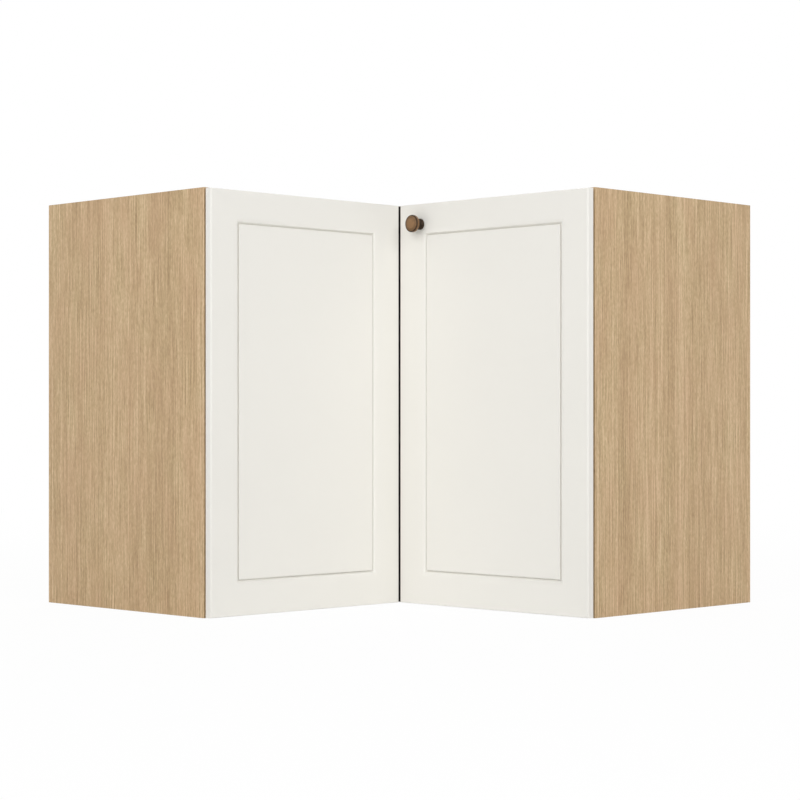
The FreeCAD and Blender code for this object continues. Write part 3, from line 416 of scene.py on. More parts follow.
def islands(node):
    """The separate solids of a CAD node: each as its list of points."""
    mesh = bmesh.new()
    mesh.from_mesh(frame["nodes"][node].data)
    bmesh.ops.remove_doubles(mesh, verts=mesh.verts, dist=SAME_POINT)
    left = set(mesh.verts)
    found = []
    while left:
        todo = [left.pop()]
        points = []
        while todo:
            vert = todo.pop()
            points.append(vert.co.copy())
            for edge in vert.link_edges:
                other = edge.other_vert(vert)
                if other in left:
                    left.remove(other)
                    todo.append(other)
        found.append(points)
    mesh.free()
    return sorted(found, key=lambda points: rounded(points_middle(points), PLACE_DECIMALS))


# Finishes


def new_finish(name):
    """An empty material with its shader."""
    finish = bpy.data.materials.new(name)
    finish.use_nodes = True
    shader = next(node for node in finish.node_tree.nodes if node.type == "BSDF_PRINCIPLED")
    return finish, finish.node_tree, shader


def is_link(value):
    """Whether a value comes from another node."""
    return isinstance(value, bpy.types.NodeSocket)


def feed(tree, socket, value):
    """Link a socket to another node's, or set it."""
    if is_link(value):
        tree.links.new(value, socket)
    else:
        socket.default_value = value


def add_node(tree, kind, inputs=None, **settings):
    """A node with its settings, its inputs set or linked."""
    node = tree.nodes.new(kind)
    for key, value in settings.items():
        setattr(node, key, value)
    for key, value in (inputs or {}).items():
        feed(tree, node.inputs[key], value)
    return node


def wire(tree, shader, **inputs):
    """Link or set the shader's sockets."""
    for key, value in inputs.items():
        feed(tree, shader.inputs[key.replace("_", " ")], value)


def opaque(colour):
    """A colour with full cover. A linked colour stays as it is."""
    return colour if is_link(colour) else (*colour, 1)


def darker(colour, share):
    """A colour with this share of its light."""
    return tuple(Vector(colour) * share)


def object_place(tree):
    """Object coordinates."""
    return add_node(tree, "ShaderNodeTexCoord").outputs["Object"]


def stretched(tree, where, grain, share):
    """Coordinates drawn out along the grain."""
    scale = tuple(share if axis == grain else 1 for axis in AXES)
    return add_node(tree, "ShaderNodeMapping", {"Vector": where, "Scale": scale}).outputs[0]


def noise(tree, where, scale, detail, roughness=0.5, output="Fac"):
    """Noise as a grey value, or as a colour."""
    inputs = {"Vector": where, "Scale": scale, "Detail": detail, "Roughness": roughness}
    return add_node(tree, "ShaderNodeTexNoise", inputs).outputs[output]


def calculate(tree, operation, *values):
    """A sum on grey values."""
    return add_node(tree, "ShaderNodeMath", dict(enumerate(values)), operation=operation).outputs[0]


def weighed(tree, parts):
    """The sum of grey values, each with its weight."""
    total = 0
    for value, weight in parts:
        total = calculate(tree, "MULTIPLY_ADD", value, weight, total)
    return total


def spread(tree, value, low, high, from_low=NOISE_LOW, from_high=NOISE_HIGH):
    """A grey value moved to a new range."""
    inputs = {"Value": value, "From Min": from_low, "From Max": from_high, "To Min": low, "To Max": high}
    return add_node(tree, "ShaderNodeMapRange", inputs).outputs[0]


def ramp(tree, value, stops):
    """A grey value turned into a colour between stops."""
    node = add_node(tree, "ShaderNodeValToRGB", {"Fac": value})
    points = node.color_ramp.elements
    while len(points) < len(stops):
        points.new(0.5)
    for point, (position, colour) in zip(points, stops):
        point.position = position
        point.color = opaque(colour)
    return node.outputs["Color"]


def mix(tree, share, first, second):
    """Two colours mixed."""
    inputs = {0: share, MIX_FIRST: opaque(first), MIX_SECOND: opaque(second)}
    return add_node(tree, "ShaderNodeMix", inputs, data_type="RGBA").outputs[MIX_RESULT]


def bump(tree, shader, height, strength, distance):
    """Fine relief on a surface."""
    inputs = {"Height": height, "Strength": strength, "Distance": distance}
    wire(tree, shader, Normal=add_node(tree, "ShaderNodeBump", inputs).outputs[0])


def oak_laminate(name, grain):
    """Printed oak decor with fine straight grain along an axis."""
    finish, tree, shader = new_finish(name)
    tone = colours()
    detail = sizes()
    plain = object_place(tree)
    patches = stretched(tree, plain, grain, detail.sway_stretch)
    sway = noise(tree, patches, scale=9, detail=2, output="Color")
    across = tuple(0 if axis == grain else detail.grain_sway for axis in AXES)
    bent = add_node(tree, "ShaderNodeVectorMath", {0: sway, 1: across, 2: plain},
                    operation="MULTIPLY_ADD").outputs[0]
    lines = stretched(tree, bent, grain, detail.line_stretch)
    streaks = stretched(tree, bent, grain, detail.grain_stretch)
    flecks = stretched(tree, bent, grain, detail.fleck_stretch)
    fleck = noise(tree, flecks, scale=480, detail=1)
    depth = weighed(tree, (
        (noise(tree, lines, scale=26, detail=2), 0.14),
        (noise(tree, lines, scale=470, detail=1), 0.29),
        (noise(tree, streaks, scale=470, detail=2, roughness=0.6), 0.36),
        (fleck, 0.21),
    ))
    colour = ramp(tree, depth, ((0.36, tone.oak_dark), (0.5, tone.oak_mid), (0.64, tone.oak_light)))
    blush = noise(tree, patches, scale=22, detail=2)
    colour = mix(tree, spread(tree, blush, low=0, high=0.3), colour, tone.oak_blush)
    wire(tree, shader, Base_Color=colour, Roughness=spread(tree, depth, low=0.58, high=0.48),
         Specular_IOR_Level=0.3)
    bump(tree, shader, fleck, strength=0.1, distance=0.0002)
    return finish


def chipboard():
    """Raw pressed chips at an edge without banding."""
    finish, tree, shader = new_finish("raw_chipboard")
    tone = colours()
    where = object_place(tree)
    chips = add_node(tree, "ShaderNodeTexVoronoi", {"Vector": where, "Scale": 420, "Randomness": 1})
    colour = ramp(tree, chips.outputs["Color"], ((0.1, tone.chip_dark), (0.9, tone.chip_light)))
    dust = noise(tree, where, scale=900, detail=4, roughness=0.7)
    colour = mix(tree, spread(tree, dust, low=0, high=0.4), colour, tone.chip_dark)
    wire(tree, shader, Base_Color=colour, Roughness=0.9)
    bump(tree, shader, chips.outputs["Distance"], strength=0.4, distance=0.0006)
    return finish


def sheet_finish(name, colour, dark, roughness):
    """Pressed fibre or plain wood, mottled down to the dark share of its light."""
    finish, tree, shader = new_finish(name)
    where = object_place(tree)
    mottle = noise(tree, where, scale=60, detail=6, roughness=0.65)
    fibre = noise(tree, where, scale=800, detail=4, roughness=0.6)
    tone = mix(tree, spread(tree, mottle, low=0, high=0.3), colour, darker(colour, dark))
    tone = mix(tree, spread(tree, fibre, low=0, high=0.2), tone, darker(colour, dark))
    wire(tree, shader, Base_Color=tone, Roughness=spread(tree, mottle, low=roughness, high=roughness - 0.1))
    bump(tree, shader, fibre, strength=0.1, distance=0.0002)
    return finish


def door_foil():
    """Satin foil pressed over the door slabs."""
    finish, tree, shader = new_finish("door_foil")
    base = colours().foil
    where = object_place(tree)
    drift = noise(tree, where, scale=3, detail=2)
    peel = noise(tree, where, scale=700, detail=3, roughness=0.55)
    colour = mix(tree, spread(tree, drift, low=0, high=1), base, darker(base, 0.985))
    wire(tree, shader, Base_Color=colour, Roughness=spread(tree, peel, low=0.52, high=0.6),
         Specular_IOR_Level=0.25)
    bump(tree, shader, peel, strength=0.05, distance=0.0001)
    return finish


def aged_bronze():
    """Bronze rubbed bright on its crown and rim, dark with patina in its hollows; the same mix paints a
    highlight on the rim's side and shade under the head, at the rim's outline and in the ring round the
    crown.
    """
    finish, tree, shader = new_finish("aged_bronze")
    tone = colours()
    mottle = noise(tree, object_place(tree), scale=260, detail=5, roughness=0.6)
    # Painted light: the rub attribute lightens the rim's side as a painted highlight and darkens the waist,
    # foot, rim outline and crown ring as painted shade
    rub = add_node(tree, "ShaderNodeAttribute", attribute_name="rub").outputs["Fac"]
    worn_and_lit = calculate(tree, "ADD", rub, spread(tree, mottle, low=-0.15, high=0.15))
    share = add_node(tree, "ShaderNodeClamp", {"Value": worn_and_lit}).outputs[0]
    wire(tree, shader, Base_Color=mix(tree, share, tone.patina_and_shade, tone.bronze), Metallic=0.35,
         Roughness=spread(tree, mottle, low=0.38, high=0.52), Specular_IOR_Level=0.3)
    bump(tree, shader, mottle, strength=0.08, distance=0.0002)
    return finish


def plated(name, colour, roughness, metallic=1):
    """Plated or lacquered metal with faint scuffs."""
    finish, tree, shader = new_finish(name)
    scuff = noise(tree, object_place(tree), scale=500, detail=5, roughness=0.65)
    tone = mix(tree, spread(tree, scuff, low=0, high=0.5), colour, darker(colour, 0.8))
    wire(tree, shader, Base_Color=tone, Metallic=metallic,
         Roughness=spread(tree, scuff, low=roughness, high=roughness + 0.14))
    bump(tree, shader, scuff, strength=0.04, distance=0.0001)
    return finish


def soft_pad(name, colour):
    """Soft plastic or rubber with a faint bloom."""
    finish, tree, shader = new_finish(name)
    cloud = noise(tree, object_place(tree), scale=300, detail=3)
    tone = mix(tree, spread(tree, cloud, low=0, high=0.4), colour, darker(colour, 0.9))
    wire(tree, shader, Base_Color=tone, Roughness=spread(tree, cloud, low=0.35, high=0.45))
    return finish


# Operators


class CABINET_OT_boards(bpy.types.Operator):
    """Make the carcass boards: oak decor faces, banded front edges, raw chipboard at the other edges"""

    bl_idname = "cabinet.boards"
    bl_label = "Carcass boards"

    # Each board's axes of thickness and grain, and the sides to which its banded edges look
    BOARDS = {
        "right_end_panel": ("X", "Z", ("-Y",)),
        "left_end_panel": ("Y", "Z", ("+X",)),
        "bottom_panel": ("Z", "X", ("-Y", "+X")),
        "top_panel": ("Z", "X", ("-Y", "+X")),
        "shelf": ("Z", "X", ("-Y", "+X")),
        "rear_corner_board": ("Y", "Z", ("+X",)),
        "side_corner_board": ("X", "Z", ("-Y",)),
        "rear_fixing_rail": ("Y", "X", ("-Z",)),
        "side_fixing_rail": ("X", "Y", ("-Z",)),
    }
    SHORTEST_EDGE = 0.012

    def execute(self, context):
        laminates = {grain: oak_laminate(f"oak_laminate_{grain.lower()}", grain) for grain in AXES}
        chips = chipboard()
        for node, (thickness, grain, fronts) in self.BOARDS.items():
            piece = copy_of_node(node, f"{node}_board")
            soften(piece, sizes().board_arris, self.SHORTEST_EDGE)
            decor = [SIDES[side] for side in ("+" + thickness, "-" + thickness, *fronts)]
            dress(piece, (laminates[grain], chips), lambda normal: int(not looks_to(normal, decor)))
            settle(piece, node, "carcass", "oak_laminate")
        return {"FINISHED"}


class CABINET_OT_backs(bpy.types.Operator):
    """Finish the back sheets: brown fibreboard outside, painted white inside"""

    bl_idname = "cabinet.backs"
    bl_label = "Back sheets"

    SHORTEST_EDGE = 0.02
    INWARD = {"rear_back_panel": "-Y", "side_back_panel": "+X"}

    def execute(self, context):
        tone = colours()
        brown = sheet_finish("fibreboard", tone.fibre, dark=0.6, roughness=0.8)
        white = sheet_finish("white_sheet", tone.white_sheet, dark=0.92, roughness=0.6)
        for node, inward in self.INWARD.items():
            piece = copy_of_node(node, f"{node}_sheet")
            soften(piece, sizes().metal_arris, self.SHORTEST_EDGE)
            dress(piece, (brown, white), lambda normal: int(looks_to(normal, [SIDES[inward]])))
            settle(piece, node, "carcass", "back_sheet")
        return {"FINISHED"}


class CABINET_OT_doors(bpy.types.Operator):
    """Make the doors: rounded slabs with a milled frame, a curved moulding and a sunk panel"""

    bl_idname = "cabinet.doors"
    bl_label = "Doors"

    # Each door's front, and its edge at the inside corner
    DOORS = {"right_door": ("-Y", "-X"), "left_door": ("+X", "+Y")}
    MOULDING_STEPS = 6
    MOULDING_CURVE = 2.2
    # Turns, in radians, above which the groove's brinks and the slab's edges are rounded
    BRINK_TURN = 0.5
    EDGE_TURN = 1
    BRINK_STEPS = 3
    EDGE_STEPS = 5
    BORE_SIDES = 48
    # Room round the seal across its slit and at its ends, as shares of the seal's play
    KERF_PLAY = Vector((1, 1, 10))

    def moulding(self):
        """Width and drop of each step from the frame's flat to the panel: a moulding, then a groove."""
        detail = sizes()
        line = [(0, 0)]
        for step in range(1, self.MOULDING_STEPS + 1):
            share = step / self.MOULDING_STEPS
            line.append((detail.moulding_width * share, detail.moulding_drop * share ** self.MOULDING_CURVE))
        far_side = detail.moulding_width + detail.groove_width
        line.append((detail.moulding_width + detail.groove_lean, detail.groove_depth))
        line.append((far_side - detail.groove_draft, detail.groove_depth))
        line.append((far_side, detail.panel_recess))
        return [(there[0] - here[0], there[1] - here[1]) for here, there in zip(line, line[1:])]

    def mill_frame(self, piece, facing, inner):
        """Mill the frame, the moulding, the groove and the panel into the front of a slab."""
        detail = sizes()
        pick(piece, "faces", lambda face: looks_to(face.normal, [facing]))
        bpy.ops.mesh.inset(thickness=detail.top_rail, depth=0)
        inside = [vert.co.copy() for vert in bmesh.from_edit_mesh(piece.data).verts if vert.select]
        low, high = points_box(inside)
        outer_side, inner_side = span(low, high, inner)
        upright = AXES["Z"]
        moves = (
            (inner, inner_side, inner * (detail.top_rail - detail.inner_stile)),
            (inner, outer_side, inner * (detail.outer_stile - detail.top_rail)),
            (upright, low.z, upright * (detail.bottom_rail - detail.top_rail)),
        )
        for across, level, move in moves:
            pick(piece, "verts", lambda vert: abs(vert.co.dot(across) - level) < NEAR
                 and self.within(vert.co, low, high))
            bpy.ops.transform.translate(value=move)
        middle = (low + high) / 2
        pick(piece, "faces", lambda face: looks_to(face.normal, [facing])
             and (face.calc_center_median() - middle).length < detail.outer_stile / 2)
        for width, drop in self.moulding():
            bpy.ops.mesh.inset(thickness=width, depth=-drop)
        self.ease_groove(piece, facing, middle.dot(facing))

    def within(self, point, low, high):
        """Whether a point lies in a box, or nearly."""
        return all(low[i] - NEAR < point[i] < high[i] + NEAR for i in range(3))

    def lies(self, edge, direction, level):
        """Whether an edge lies at a level along a direction."""
        return all(abs(vert.co.dot(direction) - level) < NEAR for vert in edge.verts)

    def ease_groove(self, piece, facing, front):
        """Round the two brinks of the groove slightly."""
        detail = sizes()
        brinks = (front - detail.moulding_drop, front - detail.panel_recess)
        pick(piece, "edges", lambda edge: edge.is_convex and edge.calc_face_angle() > self.BRINK_TURN
             and any(self.lies(edge, facing, brink) for brink in brinks))
        bpy.ops.mesh.bevel(offset=detail.door_arris, segments=self.BRINK_STEPS, affect="EDGES")

    def round_edges(self, piece, facing, inner, low, high):
        """Round the front edges, the outer edge at the back and, slightly, the other edges."""
        detail = sizes()
        back, front = span(low, high, facing)
        outer_side, inner_side = span(low, high, inner)

        def at(level, side):
            return lambda edge: self.lies(edge, facing, level) and self.lies(edge, inner, side)

        def round_about(level):
            return lambda edge: self.lies(edge, facing, level) and edge.calc_face_angle() > self.EDGE_TURN

        rounds = (
            (detail.door_inner_edge, at(front, inner_side)),
            (detail.door_edge, round_about(front)),
            (detail.door_back_edge, at(back, outer_side)),
            (detail.door_arris, round_about(back)),
        )
        for radius, chosen in rounds:
            pick(piece, "edges", chosen)
            bpy.ops.mesh.bevel(offset=radius, segments=self.EDGE_STEPS, affect="EDGES")
        merge_doubles()

    def bore_cups(self, piece, back):
        """Bore the hinge cups' holes into the back."""
        detail = sizes()
        for hinge in HINGES:
            start = points_middle(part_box(f"hinge_cup_{hinge}"))
            start.y = back + detail.bore_depth
            depth = 2 * detail.bore_depth
            cut(piece, add_rod("bore", start, SIDES["-Y"], detail.bore_radius, depth, self.BORE_SIDES))

    def saw_kerf(self, piece):
        """Saw the slit for the seal into the inner edge, right through at the top and bottom."""
        low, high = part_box("corner_seal")
        play = self.KERF_PLAY * sizes().seal_play
        cut(piece, add_block("kerf", low - play, high + play))

    def execute(self, context):
        foil = door_foil()
        for node, sides in self.DOORS.items():
            facing, inner = (SIDES[side] for side in sides)
            low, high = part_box(node)
            piece = add_block(f"{node}_slab", low, high)
            edit(piece)
            self.mill_frame(piece, facing, inner)
            self.round_edges(piece, facing, inner, low, high)
            leave_edit()
            if node == "right_door":
                self.bore_cups(piece, high.y)
                self.saw_kerf(piece)
            smooth(piece, DOOR_CREASE)
            level_faces(piece)
            dress(piece, (foil,))
            settle(piece, node, node, "door_foil")
        return {"FINISHED"}


class CABINET_OT_knob(bpy.types.Operator):
    """Turn the knob: a foot, a waist and a head with a bead round its crown"""

    bl_idname = "cabinet.knob"
    bl_label = "Knob"

    # Outline from the foot's rim to the crown: radius and height in millimetres, and how rubbed it is. The
    # rub also carries painted light: a painted highlight on the rim's side, and painted shade under the head
    # (on the waist and the foot), at the rim's outline and in the ring round the crown
    OUTLINE = (
        (10, 0, 0), (10, 2.2, 0.1), (9.5, 3, 0.1), (8.4, 3.8, 0), (7.3, 6.4, 0), (6.6, 9.4, 0),
        (6.6, 11.6, 0.05), (7.9, 13.6, 0.05), (10.6, 15.3, 0), (13.4, 16.4, 0), (14.9, 17.2, 0.2),
        (15.5, 18.2, 0.85), (15.5, 20, 1), (15.5, 21.8, 0.6), (15.3, 22.7, 0.1), (14.8, 23.3, 0),
        (14, 23.6, 0.15), (13.2, 23.8, 0.45), (12.2, 24.2, 0.75), (11.2, 24.55, 0.7), (10.7, 24.6, 0.45),
        (10.2, 24.9, 0.7), (8.6, 25.4, 0.9), (5.6, 25.8, 1), (2.8, 26, 1), (0, 26, 1),
    )
    SPIN_STEPS = 72
    # Width of the plane whose merged corners are the outline's first point
    START_SIZE = 0.001

    def execute(self, context):
        low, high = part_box("knob")
        foot = Vector(((low.x + high.x) / 2, high.y, (low.z + high.z) / 2))
        bpy.ops.object.select_all(action="DESELECT")
        bpy.ops.mesh.primitive_plane_add(size=self.START_SIZE, location=foot)
        piece = primitive("knob_turned")
        edit(piece)
        bpy.ops.mesh.select_all(action="SELECT")
        bpy.ops.mesh.merge(type="CENTER")
        bpy.ops.mesh.select_mode(type="VERT")
        bpy.ops.mesh.select_all(action="SELECT")
        here = Vector((0, 0, 0))
        for radius, height, _ in self.OUTLINE:
            there = Vector((radius, -height, 0)) / METRE
            bpy.ops.mesh.extrude_vertices_move(TRANSFORM_OT_translate={"value": there - here})
            here = there
        bpy.ops.mesh.select_all(action="SELECT")
        bpy.ops.mesh.spin(steps=self.SPIN_STEPS, angle=2 * math.pi, center=foot, axis=AXES["Y"],
                          use_auto_merge=True)
        merge_doubles()
        bpy.ops.mesh.normals_make_consistent(inside=False)
        leave_edit()
        self.rub(piece, foot)
        smooth(piece, KNOB_CREASE)
        dress(piece, (aged_bronze(),))
        settle(piece, "knob", "right_door", "knob_bronze")
        return {"FINISHED"}

    def rub(self, piece, foot):
        """Note on each point how rubbed it is, and so how much painted highlight or painted shade it gets.
        """
        layer = piece.data.attributes.new("rub", "FLOAT", "POINT")
        for index, vert in enumerate(piece.data.vertices):
            height = (foot.y - vert.co.y) * METRE
            radius = math.hypot(vert.co.x - foot.x, vert.co.z - foot.z) * METRE
            nearest = min(self.OUTLINE, key=lambda spot: math.hypot(spot[0] - radius, spot[1] - height))
            layer.data[index].value = nearest[2]


class CABINET_OT_hinges(bpy.types.Operator):
    """Finish the carcass hinges and the fold hinges"""

    bl_idname = "cabinet.hinges"
    bl_label = "Hinges"

    # The shortest edge that is rounded on a pressed part, and on a pin
    PRESSED_EDGE = 0.0018
    PIN_EDGE = 0
    # Each part's body, and the shortest edge that is rounded on it
    HINGE_PARTS = {
        "hinge_plate": ("carcass", PRESSED_EDGE),
        "hinge_arm": ("carcass", PRESSED_EDGE),
        "hinge_cup": ("right_door", PRESSED_EDGE),
        "hinge_pin": ("right_door", PIN_EDGE),
    }
    FOLD_PARTS = {
        "right_fold_leaf": ("right_door", PRESSED_EDGE),
        "left_fold_leaf": ("left_door", PRESSED_EDGE),
        "fold_pin": ("right_door", PIN_EDGE),
    }

    def make(self, parts, levels, finish, slot):
        """Make each part for its first level and copy it to the others."""
        for part, (body, shortest) in parts.items():
            nodes = [f"{part}_{level}" for level in levels]
            first = copy_of_node(nodes[0], part)
            soften(first, sizes().metal_arris, shortest)
            dress(first, (finish,))
            for node, piece in zip(nodes, along_nodes(first, nodes)):
                piece.name = f"{node}_pressed"
                settle(piece, node, body, slot)

    def execute(self, context):
        tone = colours()
        nickel = plated("plated_nickel", tone.nickel, roughness=0.24)
        # Dark lacquer on the fold hinges, also standing in for the deep shade of the gap between the doors
        lacquer = plated("dark_lacquer", tone.lacquer, roughness=0.42, metallic=0.3)
        self.make(self.HINGE_PARTS, HINGES, nickel, "nickel_steel")
        self.make(self.FOLD_PARTS, FOLDS, lacquer, "dark_steel")
        return {"FINISHED"}


class CABINET_OT_fixings(bpy.types.Operator):
    """Make the screws with crossed heads, the locks, pins and pads"""

    bl_idname = "cabinet.fixings"
    bl_label = "Screws and fixings"

    GROUPS = {
        "back_screws": ("carcass", "nickel_steel"),
        "carcass_screws": ("carcass", "nickel_steel"),
        "hinge_plate_screws": ("carcass", "nickel_steel"),
        "hinge_arm_screws": ("carcass", "nickel_steel"),
        "hinge_cup_screws": ("right_door", "nickel_steel"),
        "knob_screw": ("right_door", "nickel_steel"),
        "right_fold_screws": ("right_door", "dark_steel"),
        "left_fold_screws": ("left_door", "dark_steel"),
    }
    HEAD_SIDES = 32
    SHANK_SIDES = 20
    LOCK_SIDES = 40
    ROUND_STEPS = 3
    # Shares of the height of a screw's head
    HEAD_ROUNDING = 0.3
    HEAD_RECESS_DEPTH = 0.6
    # Shares of the radius of a screw's head
    HEAD_RECESS_REACH = 0.62
    HEAD_RECESS_HALF_WIDTH = 0.13
    # Share of the radius of a screw's shank
    TIP_ROUNDING = 0.4
    # Shares of a lock's radius
    LOCK_ROUNDING = 0.08
    LOCK_RECESS_REACH = 0.6
    LOCK_RECESS_HALF_WIDTH = 0.12
    # Share of a lock's height
    LOCK_RECESS_DEPTH = 0.13

    def screw_shape(self, points):
        """Read a screw's axis, head and shank from its points: start, direction and sizes."""
        low, high = points_box(points)
        extent = high - low
        axis = max(range(3), key=lambda i: extent[i])
        unit = Vector([1 if i == axis else 0 for i in range(3)])
        levels = sorted({round(point[axis], LEVEL_DECIMALS) for point in points})
        middle = (low + high) / 2

        def radius(level):
            ring = [point - middle for point in points if abs(point[axis] - level) < NEAR]
            return max((point - point.dot(unit) * unit).length for point in ring)

        head_first = radius(levels[0]) > radius(levels[-1])
        top, tip = (levels[0], levels[-1]) if head_first else (levels[-1], levels[0])
        under = levels[1] if head_first else levels[-2]
        direction = unit * (1 if head_first else -1)
        start = middle + unit * (top - middle[axis])
        return start, direction, radius(top), abs(under - top), radius(tip), abs(tip - under)

    def crossed_head(self, piece, start, direction, reach, half_width, depth):
        """Cut a crossed recess into the end of a rod."""
        side = direction.orthogonal().normalized()
        other = direction.cross(side)
        for along, across in ((side, other), (other, side)):
            corner = along * reach + across * half_width + direction * depth
            half = Vector([abs(value) for value in corner])
            cut(piece, add_block("recess", start - half, start + half))

    def round_end(self, piece, start, direction, radius):
        """Round the rim of a rod's end."""
        edit(piece)
        pick(piece, "edges", lambda edge: all(abs((vert.co - start).dot(direction)) < NEAR
                                              for vert in edge.verts))
        bpy.ops.mesh.bevel(offset=radius, segments=self.ROUND_STEPS, affect="EDGES")
        leave_edit()

    def screw(self, start, direction, head_radius, head_height, radius, reach):
        """One screw: a rounded head with a crossed recess, and its shank."""
        head = add_rod("head", start, direction, head_radius, head_height, self.HEAD_SIDES)
        self.round_end(head, start, direction, head_height * self.HEAD_ROUNDING)
        self.crossed_head(head, start, direction, head_radius * self.HEAD_RECESS_REACH,
                          head_radius * self.HEAD_RECESS_HALF_WIDTH, head_height * self.HEAD_RECESS_DEPTH)
        shank = add_rod("shank", start + direction * head_height, direction, radius, reach, self.SHANK_SIDES)
        tip = start + direction * (head_height + reach)
        self.round_end(shank, tip, direction, radius * self.TIP_ROUNDING)
        return join("screw", [head, shank])

    def lock(self, start, direction, radius, reach):
        """One lock: a drum with a crossed recess in its face."""
        drum = add_rod("lock", start, direction, radius, reach, self.LOCK_SIDES)
        self.round_end(drum, start, direction, radius * self.LOCK_ROUNDING)
        self.crossed_head(drum, start, direction, radius * self.LOCK_RECESS_REACH,
                          radius * self.LOCK_RECESS_HALF_WIDTH, reach * self.LOCK_RECESS_DEPTH)
        return drum

    def lock_shape(self, points):
        """Read a lock's face, direction and sizes from its points: its face is its board's outside."""
        low, high = points_box(points)
        middle = (low + high) / 2
        in_top = middle.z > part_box("shelf")[0].z
        start = Vector((middle.x, middle.y, high.z if in_top else low.z))
        direction = SIDES["-Z" if in_top else "+Z"]
        return start, direction, (high.x - low.x) / 2, high.z - low.z

    def repeat(self, node, read, make, models):
        """Make a node's like parts: each shape is modelled once, and copied to every place."""
        parts = []
        for points in islands(node):
            start, direction, *measures = read(points)
            key = (make.__name__, rounded(direction), rounded(measures, PLACE_DECIMALS))
            if key not in models:
                models[key] = (start, make(start, direction, *measures))
            first, model = models[key]
            parts.append(moved_copy(model, start - first))
        piece = join(f"{node}_turned", parts)
        smooth(piece)
        return piece

    def execute(self, context):
        tone = colours()
        finishes = {
            "nickel_steel": plated("screw_zinc", tone.nickel, roughness=0.3),
            "dark_steel": plated("screw_dark", tone.lacquer, roughness=0.4, metallic=0.5),
        }
        models = {}
        for node, (body, slot) in self.GROUPS.items():
            piece = self.repeat(node, self.screw_shape, self.screw, models)
            dress(piece, (finishes[slot],))
            settle(piece, node, body, slot)
        piece = self.repeat("cam_locks", self.lock_shape, self.lock, models)
        dress(piece, (plated("cast_zinc", tone.zinc, roughness=0.45),))
        settle(piece, "cam_locks", "carcass", "zinc")
        for _, model in models.values():
            bpy.data.objects.remove(model)
        dress(frame["nodes"]["cam_bolts"], (finishes["nickel_steel"],))
        dress(frame["nodes"]["wood_dowels"], (sheet_finish("beech", tone.beech, dark=0.8, roughness=0.7),))
        pads = (
            ("shelf_pins", finishes["nickel_steel"], "carcass", "nickel_steel"),
            ("door_bumpers", soft_pad("milky_pad", tone.pad), "carcass", "bumper"),
            # The black seal also stands in for the deep shade in the gap between the doors
            ("corner_seal", soft_pad("black_strip", tone.seal), "right_door", "seal_rubber"),
        )
        for node, finish, body, slot in pads:
            piece = copy_of_node(node, f"{node}_rounded")
            soften(piece, sizes().metal_arris, shortest=0)
            dress(piece, (finish,))
            settle(piece, node, body, slot)
        return {"FINISHED"}


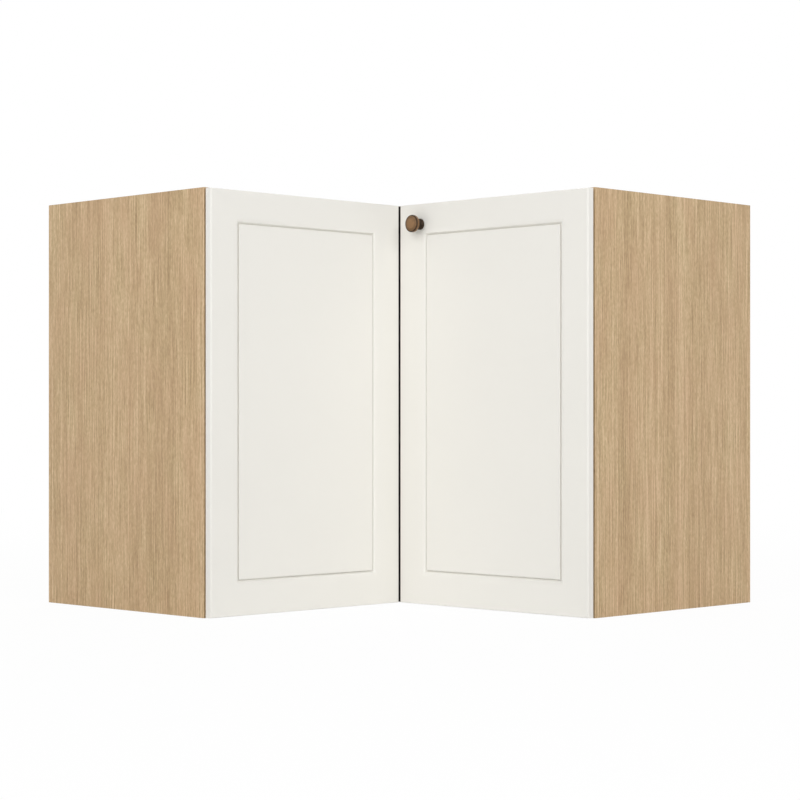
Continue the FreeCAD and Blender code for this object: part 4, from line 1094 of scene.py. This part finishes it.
class CABINET_OT_stage(bpy.types.Operator):
    """Set the floor, the light and the camera"""

    bl_idname = "cabinet.stage"
    bl_label = "Stage"

    FLOOR_COLOUR = (0.9, 0.9, 0.9, 1)
    FLOOR_ROUGHNESS = 0.9
    FLOOR_GLOSS = 0.1
    # Width of the camera's sensor in millimetres
    SENSOR = 36

    def execute(self, context):
        stage = context.scene.cabinet_stage
        self.floor(stage)
        self.world(context, stage)
        self.key_lights(context, stage)
        self.camera(context, stage)
        context.scene.view_settings.view_transform = "Standard"
        return {"FINISHED"}

    def seen_rays(self, tree):
        """One for rays that show the background: straight, mirrored or through glass."""
        path = add_node(tree, "ShaderNodeLightPath").outputs
        first = calculate(tree, "MAXIMUM", path["Is Camera Ray"], path["Is Glossy Ray"])
        return calculate(tree, "MAXIMUM", first, path["Is Transmission Ray"])

    def show_white(self, tree, own, kind, share):
        """Show white in the place of a share of what the floor or the room looks like by itself."""
        white = add_node(tree, kind, {"Color": WHITE, "Strength": 1})
        both = add_node(tree, "ShaderNodeMixShader", {0: share, 1: own.outputs[0], 2: white.outputs[0]})
        output = next(node for node in tree.nodes if node.type.startswith("OUTPUT"))
        tree.links.new(both.outputs[0], output.inputs["Surface"])

    def floor(self, stage):
        """A wide pale floor that stays white in the picture and keeps a faint shadow."""
        bpy.ops.object.select_all(action="DESELECT")
        bpy.ops.mesh.primitive_plane_add(size=stage.floor_size, location=(0, 0, 0))
        floor = primitive("floor")
        finish, tree, shader = new_finish("pale_floor")
        wire(tree, shader, Base_Color=self.FLOOR_COLOUR, Roughness=self.FLOOR_ROUGHNESS,
             Specular_IOR_Level=self.FLOOR_GLOSS)
        distance = add_node(tree, "ShaderNodeVectorMath", {0: object_place(tree)}, operation="LENGTH")
        whiteness = spread(tree, distance.outputs["Value"], 1 - stage.floor_shade, 1,
                           stage.shade_near, stage.shade_far)
        share = calculate(tree, "MULTIPLY", self.seen_rays(tree), whiteness)
        self.show_white(tree, shader, "ShaderNodeEmission", share)
        floor.data.materials.append(finish)

    def world(self, context, stage):
        """Even light from all round, white behind the object."""
        world = bpy.data.worlds.new("white_room")
        world.use_nodes = True
        context.scene.world = world
        tree = world.node_tree
        room = next(node for node in tree.nodes if node.type == "BACKGROUND")
        wire(tree, room, Color=WHITE, Strength=stage.ambient)
        self.show_white(tree, room, "ShaderNodeBackground", self.seen_rays(tree))

    def key_lights(self, context, stage):
        """Large soft lights, one each side of the camera and one behind the object."""
        front = -DIAGONAL
        lamps = (
            (front - stage.key_angle, stage.key_power),
            (front + stage.key_angle, stage.key_power),
            (front + math.pi, stage.back_power),
        )
        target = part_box("shelf")[0].z * AXES["Z"]
        for bearing, power in lamps:
            lamp = bpy.data.lights.new("soft_light", "AREA")
            lamp.shape = "DISK"
            lamp.size = stage.key_size
            lamp.energy = power
            light = bpy.data.objects.new("soft_light", lamp)
            context.scene.collection.objects.link(light)
            light.location = (stage.key_distance * math.cos(bearing), stage.key_distance * math.sin(bearing),
                              stage.key_height)
            light.rotation_euler = (target - light.location).to_track_quat("-Z", "Y").to_euler()

    def camera(self, context, stage):
        """A level camera on the diagonal."""
        data = bpy.data.cameras.new("camera")
        data.lens = stage.lens
        data.sensor_width = self.SENSOR
        data.shift_x = stage.shift_x
        data.shift_y = stage.shift_y
        camera = bpy.data.objects.new("camera", data)
        context.scene.collection.objects.link(camera)
        camera.location = (stage.camera_out, -stage.camera_out, stage.camera_height)
        camera.rotation_euler = (math.radians(90), 0, DIAGONAL)
        context.scene.camera = camera


class CABINET_PT_tools(bpy.types.Panel):
    """Lists the steps that dress the cabinet"""

    bl_idname = "CABINET_PT_tools"
    bl_label = "Corner base cabinet"
    bl_space_type = "VIEW_3D"
    bl_region_type = "UI"
    bl_category = "Cabinet"

    def draw(self, context):
        for step in STEPS:
            self.layout.operator(step.bl_idname)


STEPS = (
    CABINET_OT_boards, CABINET_OT_backs, CABINET_OT_doors, CABINET_OT_knob, CABINET_OT_hinges,
    CABINET_OT_fixings, CABINET_OT_stage,
)
SETTINGS = {
    "cabinet_colours": CabinetColours,
    "cabinet_sizes": CabinetSizes,
    "cabinet_stage": CabinetStage,
}


def register():
    """Add the settings, steps and panel."""
    for name, group in SETTINGS.items():
        bpy.utils.register_class(group)
        setattr(bpy.types.Scene, name, bpy.props.PointerProperty(type=group))
    for step in STEPS:
        bpy.utils.register_class(step)
    bpy.utils.register_class(CABINET_PT_tools)


def unregister():
    """Take the panel, steps and settings away."""
    bpy.utils.unregister_class(CABINET_PT_tools)
    for step in reversed(STEPS):
        bpy.utils.unregister_class(step)
    for name, group in reversed(SETTINGS.items()):
        delattr(bpy.types.Scene, name)
        bpy.utils.unregister_class(group)


def main():
    """Dress the cabinet and set the stage."""
    register()
    bpy.ops.cabinet.boards()
    bpy.ops.cabinet.backs()
    bpy.ops.cabinet.doors()
    bpy.ops.cabinet.knob()
    bpy.ops.cabinet.hinges()
    bpy.ops.cabinet.fixings()
    bpy.ops.cabinet.stage()


if __name__ == "__main__":
    main()
